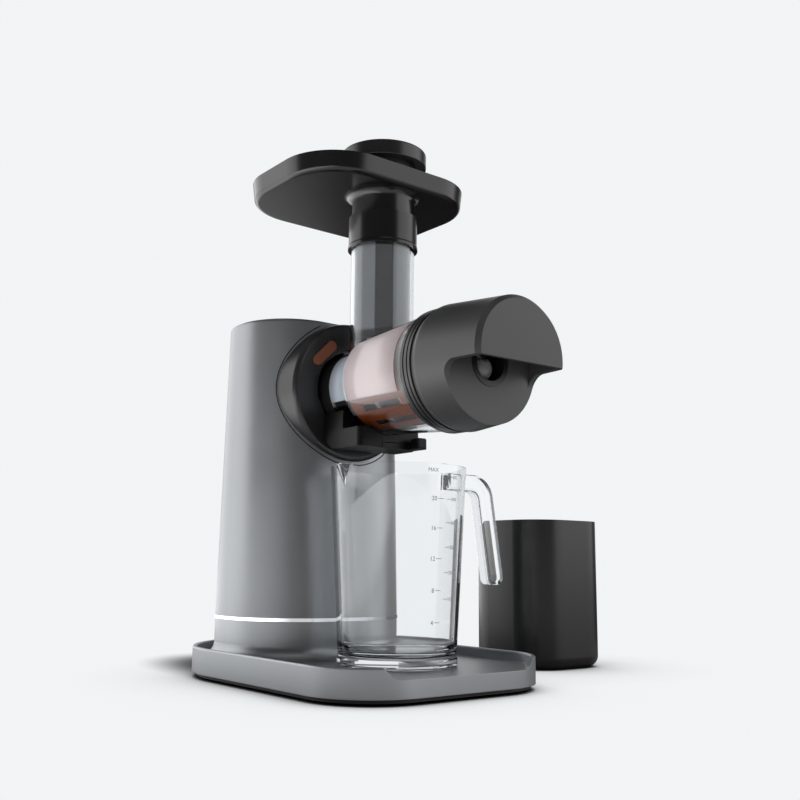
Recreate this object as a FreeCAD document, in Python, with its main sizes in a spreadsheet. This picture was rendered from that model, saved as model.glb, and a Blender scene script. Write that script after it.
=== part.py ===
import FreeCAD, Part
import math
import os
import re
import Sketcher
from FreeCAD import Placement, Rotation, Vector

# Cold press juicer with a horizontal auger, its measuring jug and its pulp bin.
# Millimetres, +Z up, +X from the motor tower towards the pulp cap, +Y towards the bin.
# Lengths below are counted from the axis of the feed tube; SET_X and SET_Y then move
# the whole set so that the row's origin is the bottom centre of its box.

SIZES = [
    ("seat_gap", 0.3, "gap between a piece and what it slides on"),
    ("face_gap", 0.1, "gap between two faces that are screwed together"),
    ("run_gap", 0.05, "radial gap of a shaft in its bearing"),
    # base tray
    ("tray_front", 90, "tube axis to the front lip"),
    ("tray_back", 162, "tube axis to the back of the tray"),
    ("tray_half_width", 85.5, "half the width of the tray"),
    ("tray_front_corner", 48, "plan radius of the two front corners"),
    ("tray_back_corner", 82, "plan radius of the two back corners"),
    ("tray_bottom", 4, "height of the tray wall's lower edge"),
    ("tray_floor", 14.8, "height of the floor that the jug stands on"),
    ("tray_floor_thick", 2.6, "thickness of that floor"),
    ("tray_rim", 21.6, "height of the raised rim"),
    ("tray_wall", 3, "thickness of the tray wall"),
    ("tray_round", 1.2, "rounding of the rim's edges"),
    ("lip_half_width", 50.5, "half the width of the lowered front lip"),
    ("lip_ramp", 13.5, "width of the curve from the lip up to the rim"),
    # underside
    ("plate_bottom", 1.6, "height of the underplate's lower face"),
    ("plate_thick", 3.8, "thickness of the underplate"),
    ("foot_radius", 9, "radius of a rubber foot"),
    ("foot_sink", 1.8, "depth of a foot in the underplate"),
    ("foot_front", 48, "tube axis to the front feet"),
    ("foot_back", 122, "tube axis to the back feet"),
    ("foot_side", 52, "middle of the tray to a foot"),
    ("plate_screw_front", 24, "tube axis to the front plate screws"),
    ("plate_screw_back", 96, "tube axis to the back plate screws"),
    ("plate_screw_side", 71, "middle of the tray to a plate screw"),
    ("screw_radius", 1.45, "radius of a screw's shank"),
    ("screw_head_radius", 3, "radius of a screw's head"),
    ("screw_head", 1.6, "thickness of a screw's head"),
    ("screw_boss", 4.5, "radius of a boss for a screw"),
    ("vent_length", 44, "length of a cooling slot in the underplate"),
    ("vent_width", 4, "width of a cooling slot"),
    ("vent_pitch", 9, "distance between cooling slots"),
    # tower
    ("tower_centre", 87, "tube axis to the tower's middle"),
    ("tower_low_x", 58, "half length of the tower at its foot"),
    ("tower_low_y", 66.5, "half width of the tower at its foot"),
    ("tower_low_corner", 54, "plan radius of the tower at its foot"),
    ("tower_top_x", 46, "half length of the tower at its top"),
    ("tower_top_y", 65, "half width of the tower at its top"),
    ("tower_top_corner", 44, "plan radius of the tower at its top"),
    ("tower_wall", 2.8, "wall of the tower"),
    ("tower_over", 51.2, "auger axis to the tower's top"),
    ("tower_round", 2.5, "rounding of the tower's top edge"),
    ("skirt_top", 40.2, "height of the skirt below the bright ring"),
    ("skirt_flare", 9, "radius where the skirt runs into the tray"),
    ("ring_tall", 2.4, "height of the bright ring"),
    ("ring_proud", 0.5, "how far the bright ring stands out"),
    ("post_radius", 4, "radius of a screw post in the tower"),
    ("post_tall", 17, "height of a screw post in the tower"),
    # collar that holds the juicing head
    ("axis_height", 201.8, "height of the auger's axis"),
    ("collar_face", 33, "tube axis to the collar's face"),
    ("collar_face_radius", 50, "radius of the collar's face"),
    ("collar_root", 64, "tube axis to the wide end of the collar's cone"),
    ("collar_root_radius", 53.8, "radius of the wide end of the cone"),
    ("collar_round", 3.5, "rounding of the collar's face"),
    ("collar_spigot", 46, "radius of the spigot in the tower wall"),
    ("collar_back", 60, "tube axis to the spigot's back end"),
    ("recess_radius", 31, "radius of the recess for the head"),
    ("recess_floor", 47, "tube axis to the floor of that recess"),
    ("recess_web", 5, "thickness of the recess floor"),
    ("spigot_bore", 43, "radius of the hollow behind the recess"),
    ("seal_bore", 14, "radius of the bore for the shaft seal"),
    ("socket_ring", 1.1, "thickness of the bayonet ring's band"),
    ("keeper_reach", 1.7, "how far a keeper reaches in from the band"),
    ("keeper_angle", 28, "angle of one keeper"),
    ("keeper_thick", 3.4, "thickness of a keeper along the axis"),
    # release button
    ("button_radius", 36.3, "auger axis to the middle of the button"),
    ("button_angle", 135, "place of the button round the axis"),
    ("button_half_long", 12, "half length of the button"),
    ("button_half_wide", 3.8, "half width of the button"),
    ("button_proud", 0.9, "how far the button stands out"),
    ("button_depth", 15, "depth of the button behind the face"),
    ("button_travel", 3, "travel of the button"),
    ("bolt_radius", 1.5, "radius of the latch bolt"),
    ("bolt_place", 24, "auger axis to the latch bolt"),
    ("bridge_back", 56, "tube axis to the back of the latch's bridge"),
    ("bridge_thick", 3, "thickness of the latch's bridge"),
    # gears and motor
    ("output_teeth", 36, "teeth of the output gear"),
    ("idler_small_teeth", 12, "teeth of the idler's small gear"),
    ("slow_module", 2.25, "module of that pair"),
    ("idler_big_teeth", 44, "teeth of the idler's large gear"),
    ("pinion_teeth", 11, "teeth of the motor pinion"),
    ("fast_module", 1.5, "module of that pair"),
    ("pressure_angle", 25, "pressure angle of all gears"),
    ("backlash", 0.3, "play between two teeth"),
    ("slow_gear_front", 65, "tube axis to the front of the slow gears"),
    ("slow_gear_wide", 9.5, "width of the slow gears"),
    ("fast_gear_front", 76.5, "tube axis to the front of the fast gears"),
    ("fast_gear_wide", 7, "width of the fast gears"),
    ("case_front", 60, "tube axis to the front of the gear case"),
    ("case_cover", 2.5, "thickness of the gear case's cover"),
    ("case_back", 87, "tube axis to the back of the gear case"),
    ("case_wall", 2.5, "wall of the gear case"),
    ("case_head_radius", 45.4, "radius of the gear case round the output gear"),
    ("case_waist_radius", 38, "radius of the gear case round the idler"),
    ("case_foot_radius", 20, "radius of the gear case round the pinion"),
    ("shaft_radius", 7, "radius of the drive shaft"),
    ("bearing_radius", 12, "outer radius of a shaft bearing"),
    ("bearing_wide", 6, "width of a shaft bearing"),
    ("idler_pin_radius", 4, "radius of the idler's pin"),
    ("hex_radius", 6, "radius across the corners of the drive tip"),
    ("hex_back", 36, "tube axis to the back of the drive tip"),
    ("hex_front", 14, "tube axis to the end of the drive tip"),
    ("hex_play", 0.2, "play of the drive tip in its socket"),
    ("motor_radius", 34, "radius of the motor can"),
    ("motor_long", 41, "length of the motor can"),
    ("motor_wall", 2, "wall of the motor can"),
    ("motor_shaft", 3, "radius of the motor shaft"),
    ("rotor_radius", 20, "radius of the rotor core"),
    ("stator_radius", 20.8, "inner radius of the stator"),
    ("fan_radius", 29, "radius of the cooling fan"),
    ("fan_wide", 5, "width of the cooling fan"),
    ("fan_blades", 9, "blades of the cooling fan"),
    ("cradle_front", 92, "tube axis to the front of the motor cradle"),
    ("cradle_long", 32, "length of the motor cradle"),
    ("cradle_half_wide", 28, "half width of the motor cradle"),
    ("board_long", 52, "length of the circuit board"),
    ("board_wide", 18, "width of the circuit board"),
    ("board_height", 22, "height of the circuit board"),
    ("board_thick", 1.6, "thickness of the circuit board"),
    ("board_gap", 3, "cradle to the circuit board"),
    ("board_margin", 5, "end of the board to the middle of a post"),
    ("board_post", 3, "radius of a post under the board"),
    ("capacitor_place", 42, "end of the board to the capacitor"),
    ("capacitor_side", 8, "edge of the board to the capacitor"),
    ("capacitor_radius", 5, "radius of the capacitor"),
    ("capacitor_tall", 12, "height of the capacitor"),
    ("relay_place", 18, "end of the board to the relay"),
    ("relay_side", 4, "edge of the board to the relay"),
    ("relay_long", 15, "length of the relay"),
    ("relay_wide", 10, "width of the relay"),
    ("relay_tall", 7, "height of the relay"),
    # power switch and cable gland on the back
    ("switch_height", 60.5, "height of the switch's pivot"),
    ("switch_half_wide", 10.7, "half width of the switch's frame"),
    ("switch_half_tall", 14.7, "half height of the switch's frame"),
    ("switch_rim", 2.4, "width of the frame round the rocker"),
    ("rocker_gap", 0.4, "gap round the rocker"),
    ("gland_height", 30.5, "height of the cable gland"),
    ("gland_radius", 6, "radius of the cable gland"),
    ("gland_bore", 3.5, "radius of the cable's bore"),
    # juicing head
    ("neck_back", 24, "tube axis to the back end of the clear drum"),
    ("neck_radius", 27.5, "radius of the drum's neck"),
    ("neck_front", 5, "tube axis to the neck's front end"),
    ("drum_start", 2.5, "where the full drum starts, ahead of the tube axis"),
    ("drum_start_radius", 34.4, "radius of the drum there"),
    ("drum_front", 71.8, "front end of the drum"),
    ("drum_front_radius", 39, "radius of the drum at its front end"),
    ("drum_wall", 2.2, "wall of the drum"),
    ("flange_back", 44, "tube axis to the back of the bayonet flange"),
    ("flange_plate", 4, "thickness of the flange's back plate"),
    ("flange_bore", 20, "bore of that plate"),
    ("lug_reach", 1.9, "how far a lug stands out of the flange"),
    ("lug_angle", 24, "angle of one lug"),
    ("twist_open", 28, "twist that frees the head"),
    ("liner_radius", 25, "outer radius of the flange's liner"),
    ("liner_wall", 1.8, "wall of the flange's liner"),
    ("liner_front", 9, "tube axis to the liner's front end"),
    ("throat_radius", 20.3, "bore of the feed tube"),
    ("tube_radius", 22.5, "outer radius of the feed tube"),
    ("tube_tall", 116.2, "auger axis to the feed tube's top"),
    ("ring_front", 81.2, "front of the grooved ring"),
    ("ring_radius", 40.4, "radius of the grooved ring"),
    ("ring_groove", 1, "depth of a groove in that ring"),
    ("ring_bore", 36.4, "bore of the grooved ring"),
    ("screen_start", 4, "back end of the screen"),
    ("screen_end", 66, "front end of the screen"),
    ("screen_radius", 31.4, "outer radius of the screen"),
    ("screen_wall", 0.8, "thickness of the screen"),
    ("screen_slots", 14, "slots round the screen"),
    ("screen_slot_long", 40, "length of a slot in the screen"),
    ("screen_slot_wide", 5, "width of a slot in the screen"),
    ("outlet_x", 2, "juice outlet, ahead of the tube axis"),
    ("outlet_radius", 6, "radius of the juice outlet"),
    # spout block and drip stop
    ("tub_back", 30, "tube axis to the back of the spout's block"),
    ("tub_front", 11.5, "front of the spout's block, ahead of the tube axis"),
    ("tub_half_wide", 26.3, "half width of the spout's block"),
    ("tub_drop", 44.5, "auger axis to the block's lower face"),
    ("tub_shelf", 13.2, "height of the block's front part"),
    ("tub_step", 8, "tube axis to the step behind the front part"),
    ("tub_tall", 25.7, "height of the block's back part"),
    ("tub_round", 14, "radius of the block's lower back edge"),
    ("tub_edge", 3.5, "rounding of the block's front corners"),
    ("drip_x", 4, "pivot of the drip stop, ahead of the tube axis"),
    ("drip_y", 19.5, "pivot of the drip stop, across the juicer"),
    ("drip_thick", 3.7, "thickness of the drip stop"),
    ("drip_reach", 27.6, "radius of the drip stop round its pivot"),
    ("drip_start", 118.4, "angle from the lever back to the stop's far edge"),
    ("drip_hub", 5, "radius of the drip stop's hub"),
    ("drip_pin", 2, "radius of the drip stop's pin"),
    ("pin_sink", 7, "length of that pin in the block"),
    ("lever_half_wide", 4, "half width of the drip stop's lever"),
    ("lever_start", 14.6, "start of the lever's thumb rest, ahead of the tube axis"),
    ("lever_end", 22.5, "end of the lever's thumb rest"),
    ("lever_tall", 7.7, "height of the thumb rest"),
    ("lever_round", 1.4, "rounding of the thumb rest"),
    # auger
    ("auger_back", 38, "tube axis to the auger's back end"),
    ("auger_hub", 12, "radius of the auger's hub"),
    ("auger_root", 15, "radius of the auger's core"),
    ("auger_flight", 29.8, "radius over the auger's flight"),
    ("auger_pitch", 25, "pitch of the auger's flight"),
    ("auger_shoulder", 20, "tube axis to the shoulder of the auger's core"),
    ("auger_flight_start", 8, "start of the flight, ahead of the tube axis"),
    ("auger_turns", 2.1, "turns of the flight"),
    ("auger_start_turn", 17, "angle at which the flight starts"),
    ("auger_tooth", 4, "thickness of the flight"),
    ("auger_cone_end", 82, "front end of the auger's cone"),
    ("auger_nose", 6, "radius of the auger's front journal"),
    ("auger_front", 98.5, "front end of the auger"),
    # pulp cap
    ("cap_back", 81.5, "back of the cap"),
    ("cap_back_radius", 39.4, "radius of the cap at its back edge"),
    ("cap_shoulder", 86.5, "where the cap is widest"),
    ("cap_radius", 41, "radius of the cap there"),
    ("hood_edge", 135.4, "where the hood's bevel starts"),
    ("hood_radius", 36.5, "radius of the hood there"),
    ("hood_front", 138.3, "front face of the hood"),
    ("hood_face_radius", 33.9, "radius of the hood's face"),
    ("hood_cut", 4.1, "auger axis down to the hood's lower edge"),
    ("cap_wall", 2.6, "wall of the hood"),
    ("face_front", 109.8, "front of the cap's lower face"),
    ("scoop_round", 9, "radius where the hood runs into the cap"),
    ("cap_cavity", 101, "depth of the cap's cavity"),
    ("spigot_radius", 36, "outer radius of the cap's spigot"),
    ("spigot_wall", 2.6, "wall of the cap's spigot"),
    ("spigot_start", 74, "back end of the cap's spigot"),
    ("nozzle_drop", 0.4, "how far the nozzle lies below the auger's axis"),
    ("nozzle_radius", 15, "outer radius of the nozzle"),
    ("nozzle_bore", 11.5, "bore of the nozzle"),
    ("nozzle_back", 100, "back end of the nozzle"),
    ("nozzle_front", 110.3, "front end of the nozzle"),
    ("spider_start", 92.5, "back of the bearing spider"),
    ("spider_thick", 5.5, "thickness of the bearing spider"),
    ("spider_hub", 9.5, "radius of the spider's hub"),
    ("spider_arm", 4, "width of a spider arm"),
    # hopper
    ("hopper_back", 90, "tube axis to the back of the hopper"),
    ("hopper_front", 28, "front of the hopper"),
    ("hopper_half_width", 72, "half width of the hopper"),
    ("hopper_corner", 42, "plan radius of the hopper's corners"),
    ("hopper_neck", 22.3, "outer radius of the hopper's neck"),
    ("neck_over", 5.2, "feed tube's top to the neck's lower end"),
    ("neck_tall", 16.8, "height of the neck below the dish"),
    ("neck_round", 6, "radius where the neck runs into the dish"),
    ("hopper_tall", 14, "height of the dish"),
    ("hopper_foot_round", 3.5, "radius of the dish's lower edge"),
    ("hopper_flare", 1.6, "how far the wall leans out"),
    ("hopper_wall", 2.6, "wall of the hopper"),
    ("sleeve_radius", 24.4, "outer radius of the sleeve on the tube"),
    ("sleeve_tall", 18.4, "length of the sleeve below the tube's top"),
    ("sleeve_bead", 0.5, "bead at the sleeve's lower end"),
    ("sleeve_bead_tall", 2, "height of that bead"),
    # pusher
    ("pusher_over", 36.2, "auger axis to the pusher's lower end"),
    ("pusher_radius", 19.7, "radius of the pusher"),
    ("pusher_flange", 22.3, "radius of the pusher's flange"),
    ("pusher_stem", 18, "radius of the pusher above its flange"),
    ("pusher_wall", 3, "wall of the pusher"),
    ("knob_over", 7, "hopper's rim to the knob's lower edge"),
    ("knob_tall", 11, "height of the knob"),
    ("knob_step", 4, "height of the step under the knob"),
    ("knob_radius", 30.7, "radius of the knob"),
    ("knob_neck", 23, "radius of the step under the knob"),
    ("knob_round", 1.6, "rounding of the knob's edges"),
    # jug
    ("jug_x", 20.7, "jug axis ahead of the tube axis"),
    ("jug_foot_radius", 39.4, "radius of the jug's foot"),
    ("jug_foot_tall", 4.6, "height of the jug's foot ring"),
    ("jug_low_radius", 38.8, "radius of the jug above its foot"),
    ("jug_rim_radius", 45.4, "radius of the jug's rim"),
    ("jug_tall", 127.6, "height of the jug"),
    ("jug_wall", 2.2, "wall of the jug"),
    ("jug_base_thick", 6.4, "thickness of the jug's base"),
    ("jug_inner_round", 10, "radius at the bottom of the jug's hollow"),
    ("jug_spout_radius", 7, "radius of the spout at the rim"),
    ("jug_spout_tall", 14, "height of the spout"),
    ("jug_spout_place", 43, "jug axis to the spout's axis"),
    ("jug_spout_wall", 1.8, "wall of the spout"),
    ("handle_wide", 10, "width of the handle"),
    ("handle_top", 11.5, "thickness of the handle where it leaves the rim"),
    ("handle_thick", 15, "thickness of the handle's grip"),
    ("handle_reach", 81, "jug axis to the handle's outer face at its top"),
    ("handle_lean", 12.5, "how far the handle leans out at its end"),
    ("handle_bottom", 65.5, "height of the handle's lower end"),
    ("handle_bend", 18, "outer radius of the handle's bend"),
    ("handle_inner_bend", 7, "inner radius of the handle's bend"),
    ("handle_end", 5, "rounding of the handle's lower end"),
    ("handle_round", 2, "rounding of the handle's edges"),
    # waste bin
    ("bin_x", -34, "bin axis from the tube axis, along the juicer"),
    ("bin_y", 189, "bin axis from the tube axis, across the juicer"),
    ("bin_half", 42, "half width of the bin"),
    ("bin_corner", 28, "plan radius of the bin's corners"),
    ("bin_tall", 115, "height of the bin"),
    ("bin_wall", 2.5, "wall of the bin"),
    ("bin_round", 9, "radius of the bin's lower edge"),
]

doc = FreeCAD.newDocument("juicer")
sheet = doc.addObject("Spreadsheet::Sheet", "Sizes")
for row, (alias, value, words) in enumerate(SIZES, start=1):
    sheet.set("A%d" % row, words)
    sheet.set("B%d" % row, str(value))
    sheet.setAlias("B%d" % row, alias)
doc.recompute()
VALUES = {alias: float(getattr(sheet, alias)) for alias, _, _ in SIZES}
WORD = re.compile(r"\b(" + "|".join(sorted(VALUES, key=len, reverse=True)) + r")\b")
SET_X = "((tray_back - hood_front) / 2)"
SET_Y = "((tray_half_width - bin_y - bin_half) / 2)"
TUBE_TOP = "(axis_height + tube_tall)"
NECK_LOW = "(axis_height + tube_tall + neck_over)"
DISH_LOW = "(axis_height + tube_tall + neck_over + neck_tall)"
DISH_FLOOR = "(axis_height + tube_tall + neck_over + neck_tall + hopper_wall)"
KNOB_LOW = "(axis_height + tube_tall + neck_over + neck_tall + hopper_tall + knob_over)"
PUSHER_LOW = "(axis_height + pusher_over)"
SPOUT_LOW = "(axis_height - tub_drop)"
pieces = {}


def number(text):
    """The value of a formula of sizes; only + - * / and brackets occur in one."""
    tokens = re.findall(r"[a-z_]+|\d+\.?\d*|[-+*/()]", str(text))

    def atom():
        token = tokens.pop(0)
        if token == "(":
            value = total()
            tokens.pop(0)
            return value
        if token == "-":
            return -atom()
        return VALUES[token] if token in VALUES else float(token)

    def product():
        value = atom()
        while tokens and tokens[0] in "*/":
            sign = tokens.pop(0)
            value = value * atom() if sign == "*" else value / atom()
        return value

    def total():
        value = product()
        while tokens and tokens[0] in "+-":
            sign = tokens.pop(0)
            value = value + product() if sign == "+" else value - product()
        return value

    return total()


def bind(thing, field, text):
    """Ties one property of an object to a formula of the sheet's sizes."""
    thing.setExpression(field, WORD.sub(r"Sizes.\1", str(text)))


def place(thing, x="0", y="0", z="0"):
    bind(thing, "Placement.Base.x", "%s + (%s)" % (SET_X, x))
    bind(thing, "Placement.Base.y", "%s + (%s)" % (SET_Y, y))
    bind(thing, "Placement.Base.z", z)
    return thing


def keep(label, thing):
    """Makes an object one of the pieces; its label names its file."""
    thing.Label = label
    pieces[label] = thing
    return thing


TURNS = {
    "X": Rotation(Vector(0, 1, 0), 90),
    "Y": Rotation(Vector(1, 0, 0), -90),
    "Z": Rotation(),
}


def rod(name, radius, length, axis, x="0", y="0", z="0"):
    thing = doc.addObject("Part::Cylinder", name)
    thing.Placement = Placement(Vector(), TURNS[axis])
    bind(thing, "Radius", radius)
    bind(thing, "Height", length)
    return place(thing, x, y, z)


def block(name, long, wide, tall, x="0", y="0", z="0"):
    thing = doc.addObject("Part::Box", name)
    bind(thing, "Length", long)
    bind(thing, "Width", wide)
    bind(thing, "Height", tall)
    return place(thing, x, y, z)


def joined(name, *things):
    thing = doc.addObject("Part::MultiFuse", name)
    thing.Shapes = list(things)
    return thing


def less(name, base, *tools):
    thing = doc.addObject("Part::Cut", name)
    thing.Base = base
    thing.Tool = tools[0] if len(tools) == 1 else joined(name + "_tools", *tools)
    return thing


def group(name, *things):
    thing = doc.addObject("Part::Compound", name)
    thing.Links = list(things)
    return thing


def made(name, shape):
    """A shape that Part's own functions make, in lengths from the tube axis."""
    thing = doc.addObject("Part::Feature", name)
    thing.Shape = shape
    offset = Placement(Vector(number(SET_X), number(SET_Y), 0), Rotation())
    thing.Placement = offset.multiply(shape.Placement)
    return thing


def sketched(body, name, points):
    """A closed profile on the body's XZ plane, each corner bound to the sheet."""
    sketch = body.newObject("Sketcher::SketchObject", name)
    plane = [f for f in body.Origin.OriginFeatures if f.Role == "XZ_Plane"][0]
    sketch.AttachmentSupport = [(plane, "")]
    sketch.MapMode = "FlatFace"
    corners = [Vector(number(a), number(b), 0) for a, b in points]
    count = len(corners)
    for i in range(count):
        sketch.addGeometry(Part.LineSegment(corners[i], corners[(i + 1) % count]), False)
    for i in range(count):
        sketch.addConstraint(Sketcher.Constraint("Coincident", i, 2, (i + 1) % count, 1))
    for i, corner in enumerate(points):
        for kind, axis, text in (("DistanceX", -2, corner[0]), ("DistanceY", -1, corner[1])):
            if str(text) == "0":
                sketch.addConstraint(Sketcher.Constraint("PointOnObject", i, 1, axis))
                continue
            index = sketch.addConstraint(
                Sketcher.Constraint(kind, -1, 1, i, 1, number(text)))
            bind(sketch, "Constraints[%d]" % index, text)
    return sketch


def turned(name, axis, points, rounds=(), x="0", y="0", z="0"):
    """A turned body. Points are (along X, radius) or (radius, up Z)."""
    body = doc.addObject("PartDesign::Body", name)
    sketch = sketched(body, name + "_profile", points)
    feature = body.newObject("PartDesign::Revolution", name + "_turn")
    feature.Profile = sketch
    feature.ReferenceAxis = (sketch, ["H_Axis" if axis == "X" else "V_Axis"])
    feature.Angle = 360
    sketch.Visibility = False
    place(body, x, y, z)
    doc.recompute()
    for step, (corner, radius) in enumerate(rounds):
        first, second = number(corner[0]), number(corner[1])
        names = []
        for index, edge in enumerate(feature.Shape.Edges, start=1):
            if not isinstance(edge.Curve, Part.Circle):
                continue
            centre, size = edge.Curve.Center, edge.Curve.Radius
            where = (centre.x, size) if axis == "X" else (size, centre.z)
            if abs(where[0] - first) < 1e-4 and abs(where[1] - second) < 1e-4:
                names.append("Edge%d" % index)
        fillet = body.newObject("PartDesign::Fillet", "%s_round_%d" % (name, step))
        fillet.Base = (feature, names)
        bind(fillet, "Radius", radius)
        doc.recompute()
        feature = fillet
    return body


def ring(name, axis, inner, outer, low, high, x="0", y="0", z="0"):
    """A plain turned ring between two radii and two places along its axis."""
    if axis == "X":
        points = [(low, inner), (low, outer), (high, outer), (high, inner)]
    else:
        points = [(inner, low), (outer, low), (outer, high), (inner, high)]
    return turned(name, axis, points, (), x, y, z)


def loop(points, bends):
    """A closed wire through points in one plane, corners bent to given radii."""
    count = len(points)
    corners = [Vector(*p) for p in points]
    starts, ends, arcs = [], [], []
    for i in range(count):
        here = corners[i]
        back = (corners[i - 1] - here).normalize()
        ahead = (corners[(i + 1) % count] - here).normalize()
        if bends[i] <= 0:
            starts.append(here)
            ends.append(here)
            arcs.append(None)
            continue
        half = back.getAngle(ahead) / 2
        reach = bends[i] / math.tan(half)
        middle = here + (back + ahead).normalize() * (bends[i] / math.sin(half))
        crown = middle + (here - middle).normalize() * bends[i]
        starts.append(here + back * reach)
        ends.append(here + ahead * reach)
        arcs.append(crown)
    edges = []
    for i in range(count):
        if arcs[i] is not None:
            edges.append(Part.Arc(starts[i], arcs[i], ends[i]).toShape())
        following = starts[(i + 1) % count]
        if (following - ends[i]).Length > 1e-6:
            edges.append(Part.LineSegment(ends[i], following).toShape())
    return Part.Wire(edges)


def outline(x_low, x_high, half, back_bend, front_bend, height, middle=0):
    """A rounded plan outline at one height."""
    points = [(x_low, middle - half, height), (x_high, middle - half, height),
              (x_high, middle + half, height), (x_low, middle + half, height)]
    return loop(points, [back_bend, front_bend, front_bend, back_bend])


def raised(wire, low, high):
    """A prism on a plan outline between two heights."""
    face = Part.Face(wire)
    face.translate(Vector(0, 0, low - wire.BoundBox.ZMin))
    return face.extrude(Vector(0, 0, high - low))


def tray_outline(inset=0.0):
    v = VALUES
    return outline(-v["tray_back"] + inset, v["tray_front"] - inset,
                   v["tray_half_width"] - inset, v["tray_back_corner"] - inset,
                   v["tray_front_corner"] - inset, 0)


TOWER_FOOT = number("skirt_top + ring_tall + 2 * face_gap")
TOWER_TOP = number("axis_height + tower_over")


def tower_outline(height, inset=0.0):
    """The tower's plan outline; it keeps its foot's size down to the tray."""
    v = VALUES
    share = max(0.0, (height - TOWER_FOOT) / (TOWER_TOP - TOWER_FOOT))
    half_x = v["tower_low_x"] + (v["tower_top_x"] - v["tower_low_x"]) * share - inset
    half_y = v["tower_low_y"] + (v["tower_top_y"] - v["tower_low_y"]) * share - inset
    bend = (v["tower_low_corner"]
            + (v["tower_top_corner"] - v["tower_low_corner"]) * share - inset)
    return outline(-v["tower_centre"] - half_x, -v["tower_centre"] + half_x,
                   half_y, bend, bend, height)


def tower_solid(low, high, inset=0.0):
    return Part.makeLoft([tower_outline(low, inset), tower_outline(high, inset)], True, True)


def sector(x_low, x_high, inner, outer, start, sweep):
    """Part of a ring round the auger's axis; angles run from +Y towards +Z."""
    corners = [Vector(x_low, inner, 0), Vector(x_high, inner, 0),
               Vector(x_high, outer, 0), Vector(x_low, outer, 0)]
    face = Part.Face(Part.makePolygon(corners + corners[:1]))
    face.rotate(Vector(), Vector(1, 0, 0), start)
    shape = face.revolve(Vector(), Vector(1, 0, 0), sweep)
    shape.translate(Vector(0, 0, VALUES["axis_height"]))
    return shape


def round_axis(radius, angle):
    """Y and Z of a point round the auger's axis."""
    turn = math.radians(angle)
    return radius * math.cos(turn), VALUES["axis_height"] + radius * math.sin(turn)


def oblong(x_low, x_high, half_long, half_wide):
    """The button's oblong, square to the auger's radius, between two places."""
    straight = half_long - half_wide
    bar = Part.makeBox(x_high - x_low, 2 * half_wide, 2 * straight,
                       Vector(x_low, -half_wide, -straight))
    ends = [Part.makeCylinder(half_wide, x_high - x_low, Vector(x_low, 0, side * straight),
                              Vector(1, 0, 0)) for side in (-1, 1)]
    shape = bar.multiFuse(ends).removeSplitter()
    shape.rotate(Vector(), Vector(1, 0, 0), VALUES["button_angle"])
    y, z = round_axis(VALUES["button_radius"], VALUES["button_angle"])
    shape.translate(Vector(0, y, z))
    return shape


def fused(shapes):
    return shapes[0].multiFuse(shapes[1:]).removeSplitter()


# Base tray: one moulding with the raised rim, the lowered lip and the tower's skirt.
def base_tray():
    v = VALUES
    floor, rim, wall = v["tray_floor"], v["tray_rim"], v["tray_wall"]
    under = floor - v["tray_floor_thick"]
    body = raised(tray_outline(), v["tray_bottom"], rim)
    body = body.cut(raised(tray_outline(wall), floor, rim + 1))
    edges = [e for e in body.Edges if e.BoundBox.ZMin > rim - 1e-3]
    body = body.makeFillet(v["tray_round"], edges)
    lip, ramp = v["lip_half_width"], v["lip_ramp"]
    sides = []
    for side in (-1, 1):
        curve = Part.BezierCurve()
        curve.setPoles([Vector(0, side * (lip + ramp), rim + 1),
                        Vector(0, side * (lip + ramp / 2), rim + 1),
                        Vector(0, side * (lip + ramp / 2), floor),
                        Vector(0, side * lip, floor)])
        sides.append(curve.toShape())
    low = Part.LineSegment(Vector(0, -lip, floor), Vector(0, lip, floor)).toShape()
    high = Part.LineSegment(Vector(0, -lip - ramp, rim + 1),
                            Vector(0, lip + ramp, rim + 1)).toShape()
    gate = Part.Face(Part.Wire(Part.__sortEdges__([sides[0], low, sides[1], high])))
    gate = gate.extrude(Vector(v["tray_front"], 0, 0))
    gate.translate(Vector(v["tray_front"] - v["tray_front_corner"], 0, 0))
    body = body.cut(gate)
    skirt = raised(tower_outline(0), floor, v["skirt_top"])
    body = body.fuse(skirt).removeSplitter()
    plan = tower_outline(0).BoundBox
    plan.enlarge(0.1)
    foot = [e for e in body.Edges
            if abs(e.BoundBox.ZMin - floor) < 1e-3 and abs(e.BoundBox.ZMax - floor) < 1e-3
            and e.BoundBox.XMin > plan.XMin and e.BoundBox.XMax < plan.XMax
            and e.BoundBox.YMin > plan.YMin and e.BoundBox.YMax < plan.YMax]
    body = body.makeFillet(v["skirt_flare"], foot)
    body = body.cut(raised(tray_outline(wall), v["tray_bottom"] - 1, under))
    body = body.cut(raised(tower_outline(0, v["tower_wall"]), under - 1, v["skirt_top"] + 1))
    ledge = v["skirt_top"] - v["post_tall"] / 2
    lugs = [Part.makeCylinder(v["post_radius"] + 1, v["skirt_top"] - ledge,
                              Vector(x, y, ledge)) for x, y in POSTS]
    body = fused([body] + lugs)
    holes = [Part.makeCylinder(v["screw_radius"] + v["seat_gap"], v["skirt_top"],
                               Vector(x, y, ledge - 1)) for x, y in POSTS]
    bosses = [Part.makeCylinder(v["screw_boss"], under - PLATE_TOP, Vector(x, y, PLATE_TOP))
              for x, y in PLATE_SCREWS]
    body = fused([body] + bosses)
    holes += [Part.makeCylinder(v["screw_radius"] + v["run_gap"], under - PLATE_TOP,
                                Vector(x, y, PLATE_TOP)) for x, y in PLATE_SCREWS]
    gland = Part.makeCylinder(v["gland_radius"] + v["seat_gap"], 4 * v["tower_wall"],
                              Vector(GLAND_X - 2 * v["tower_wall"], 0, v["gland_height"]),
                              Vector(1, 0, 0))
    return body.cut(holes + [gland])


def four_places(front, back, side):
    return [(x, s * side) for x in (front, -back) for s in (-1, 1)]


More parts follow.
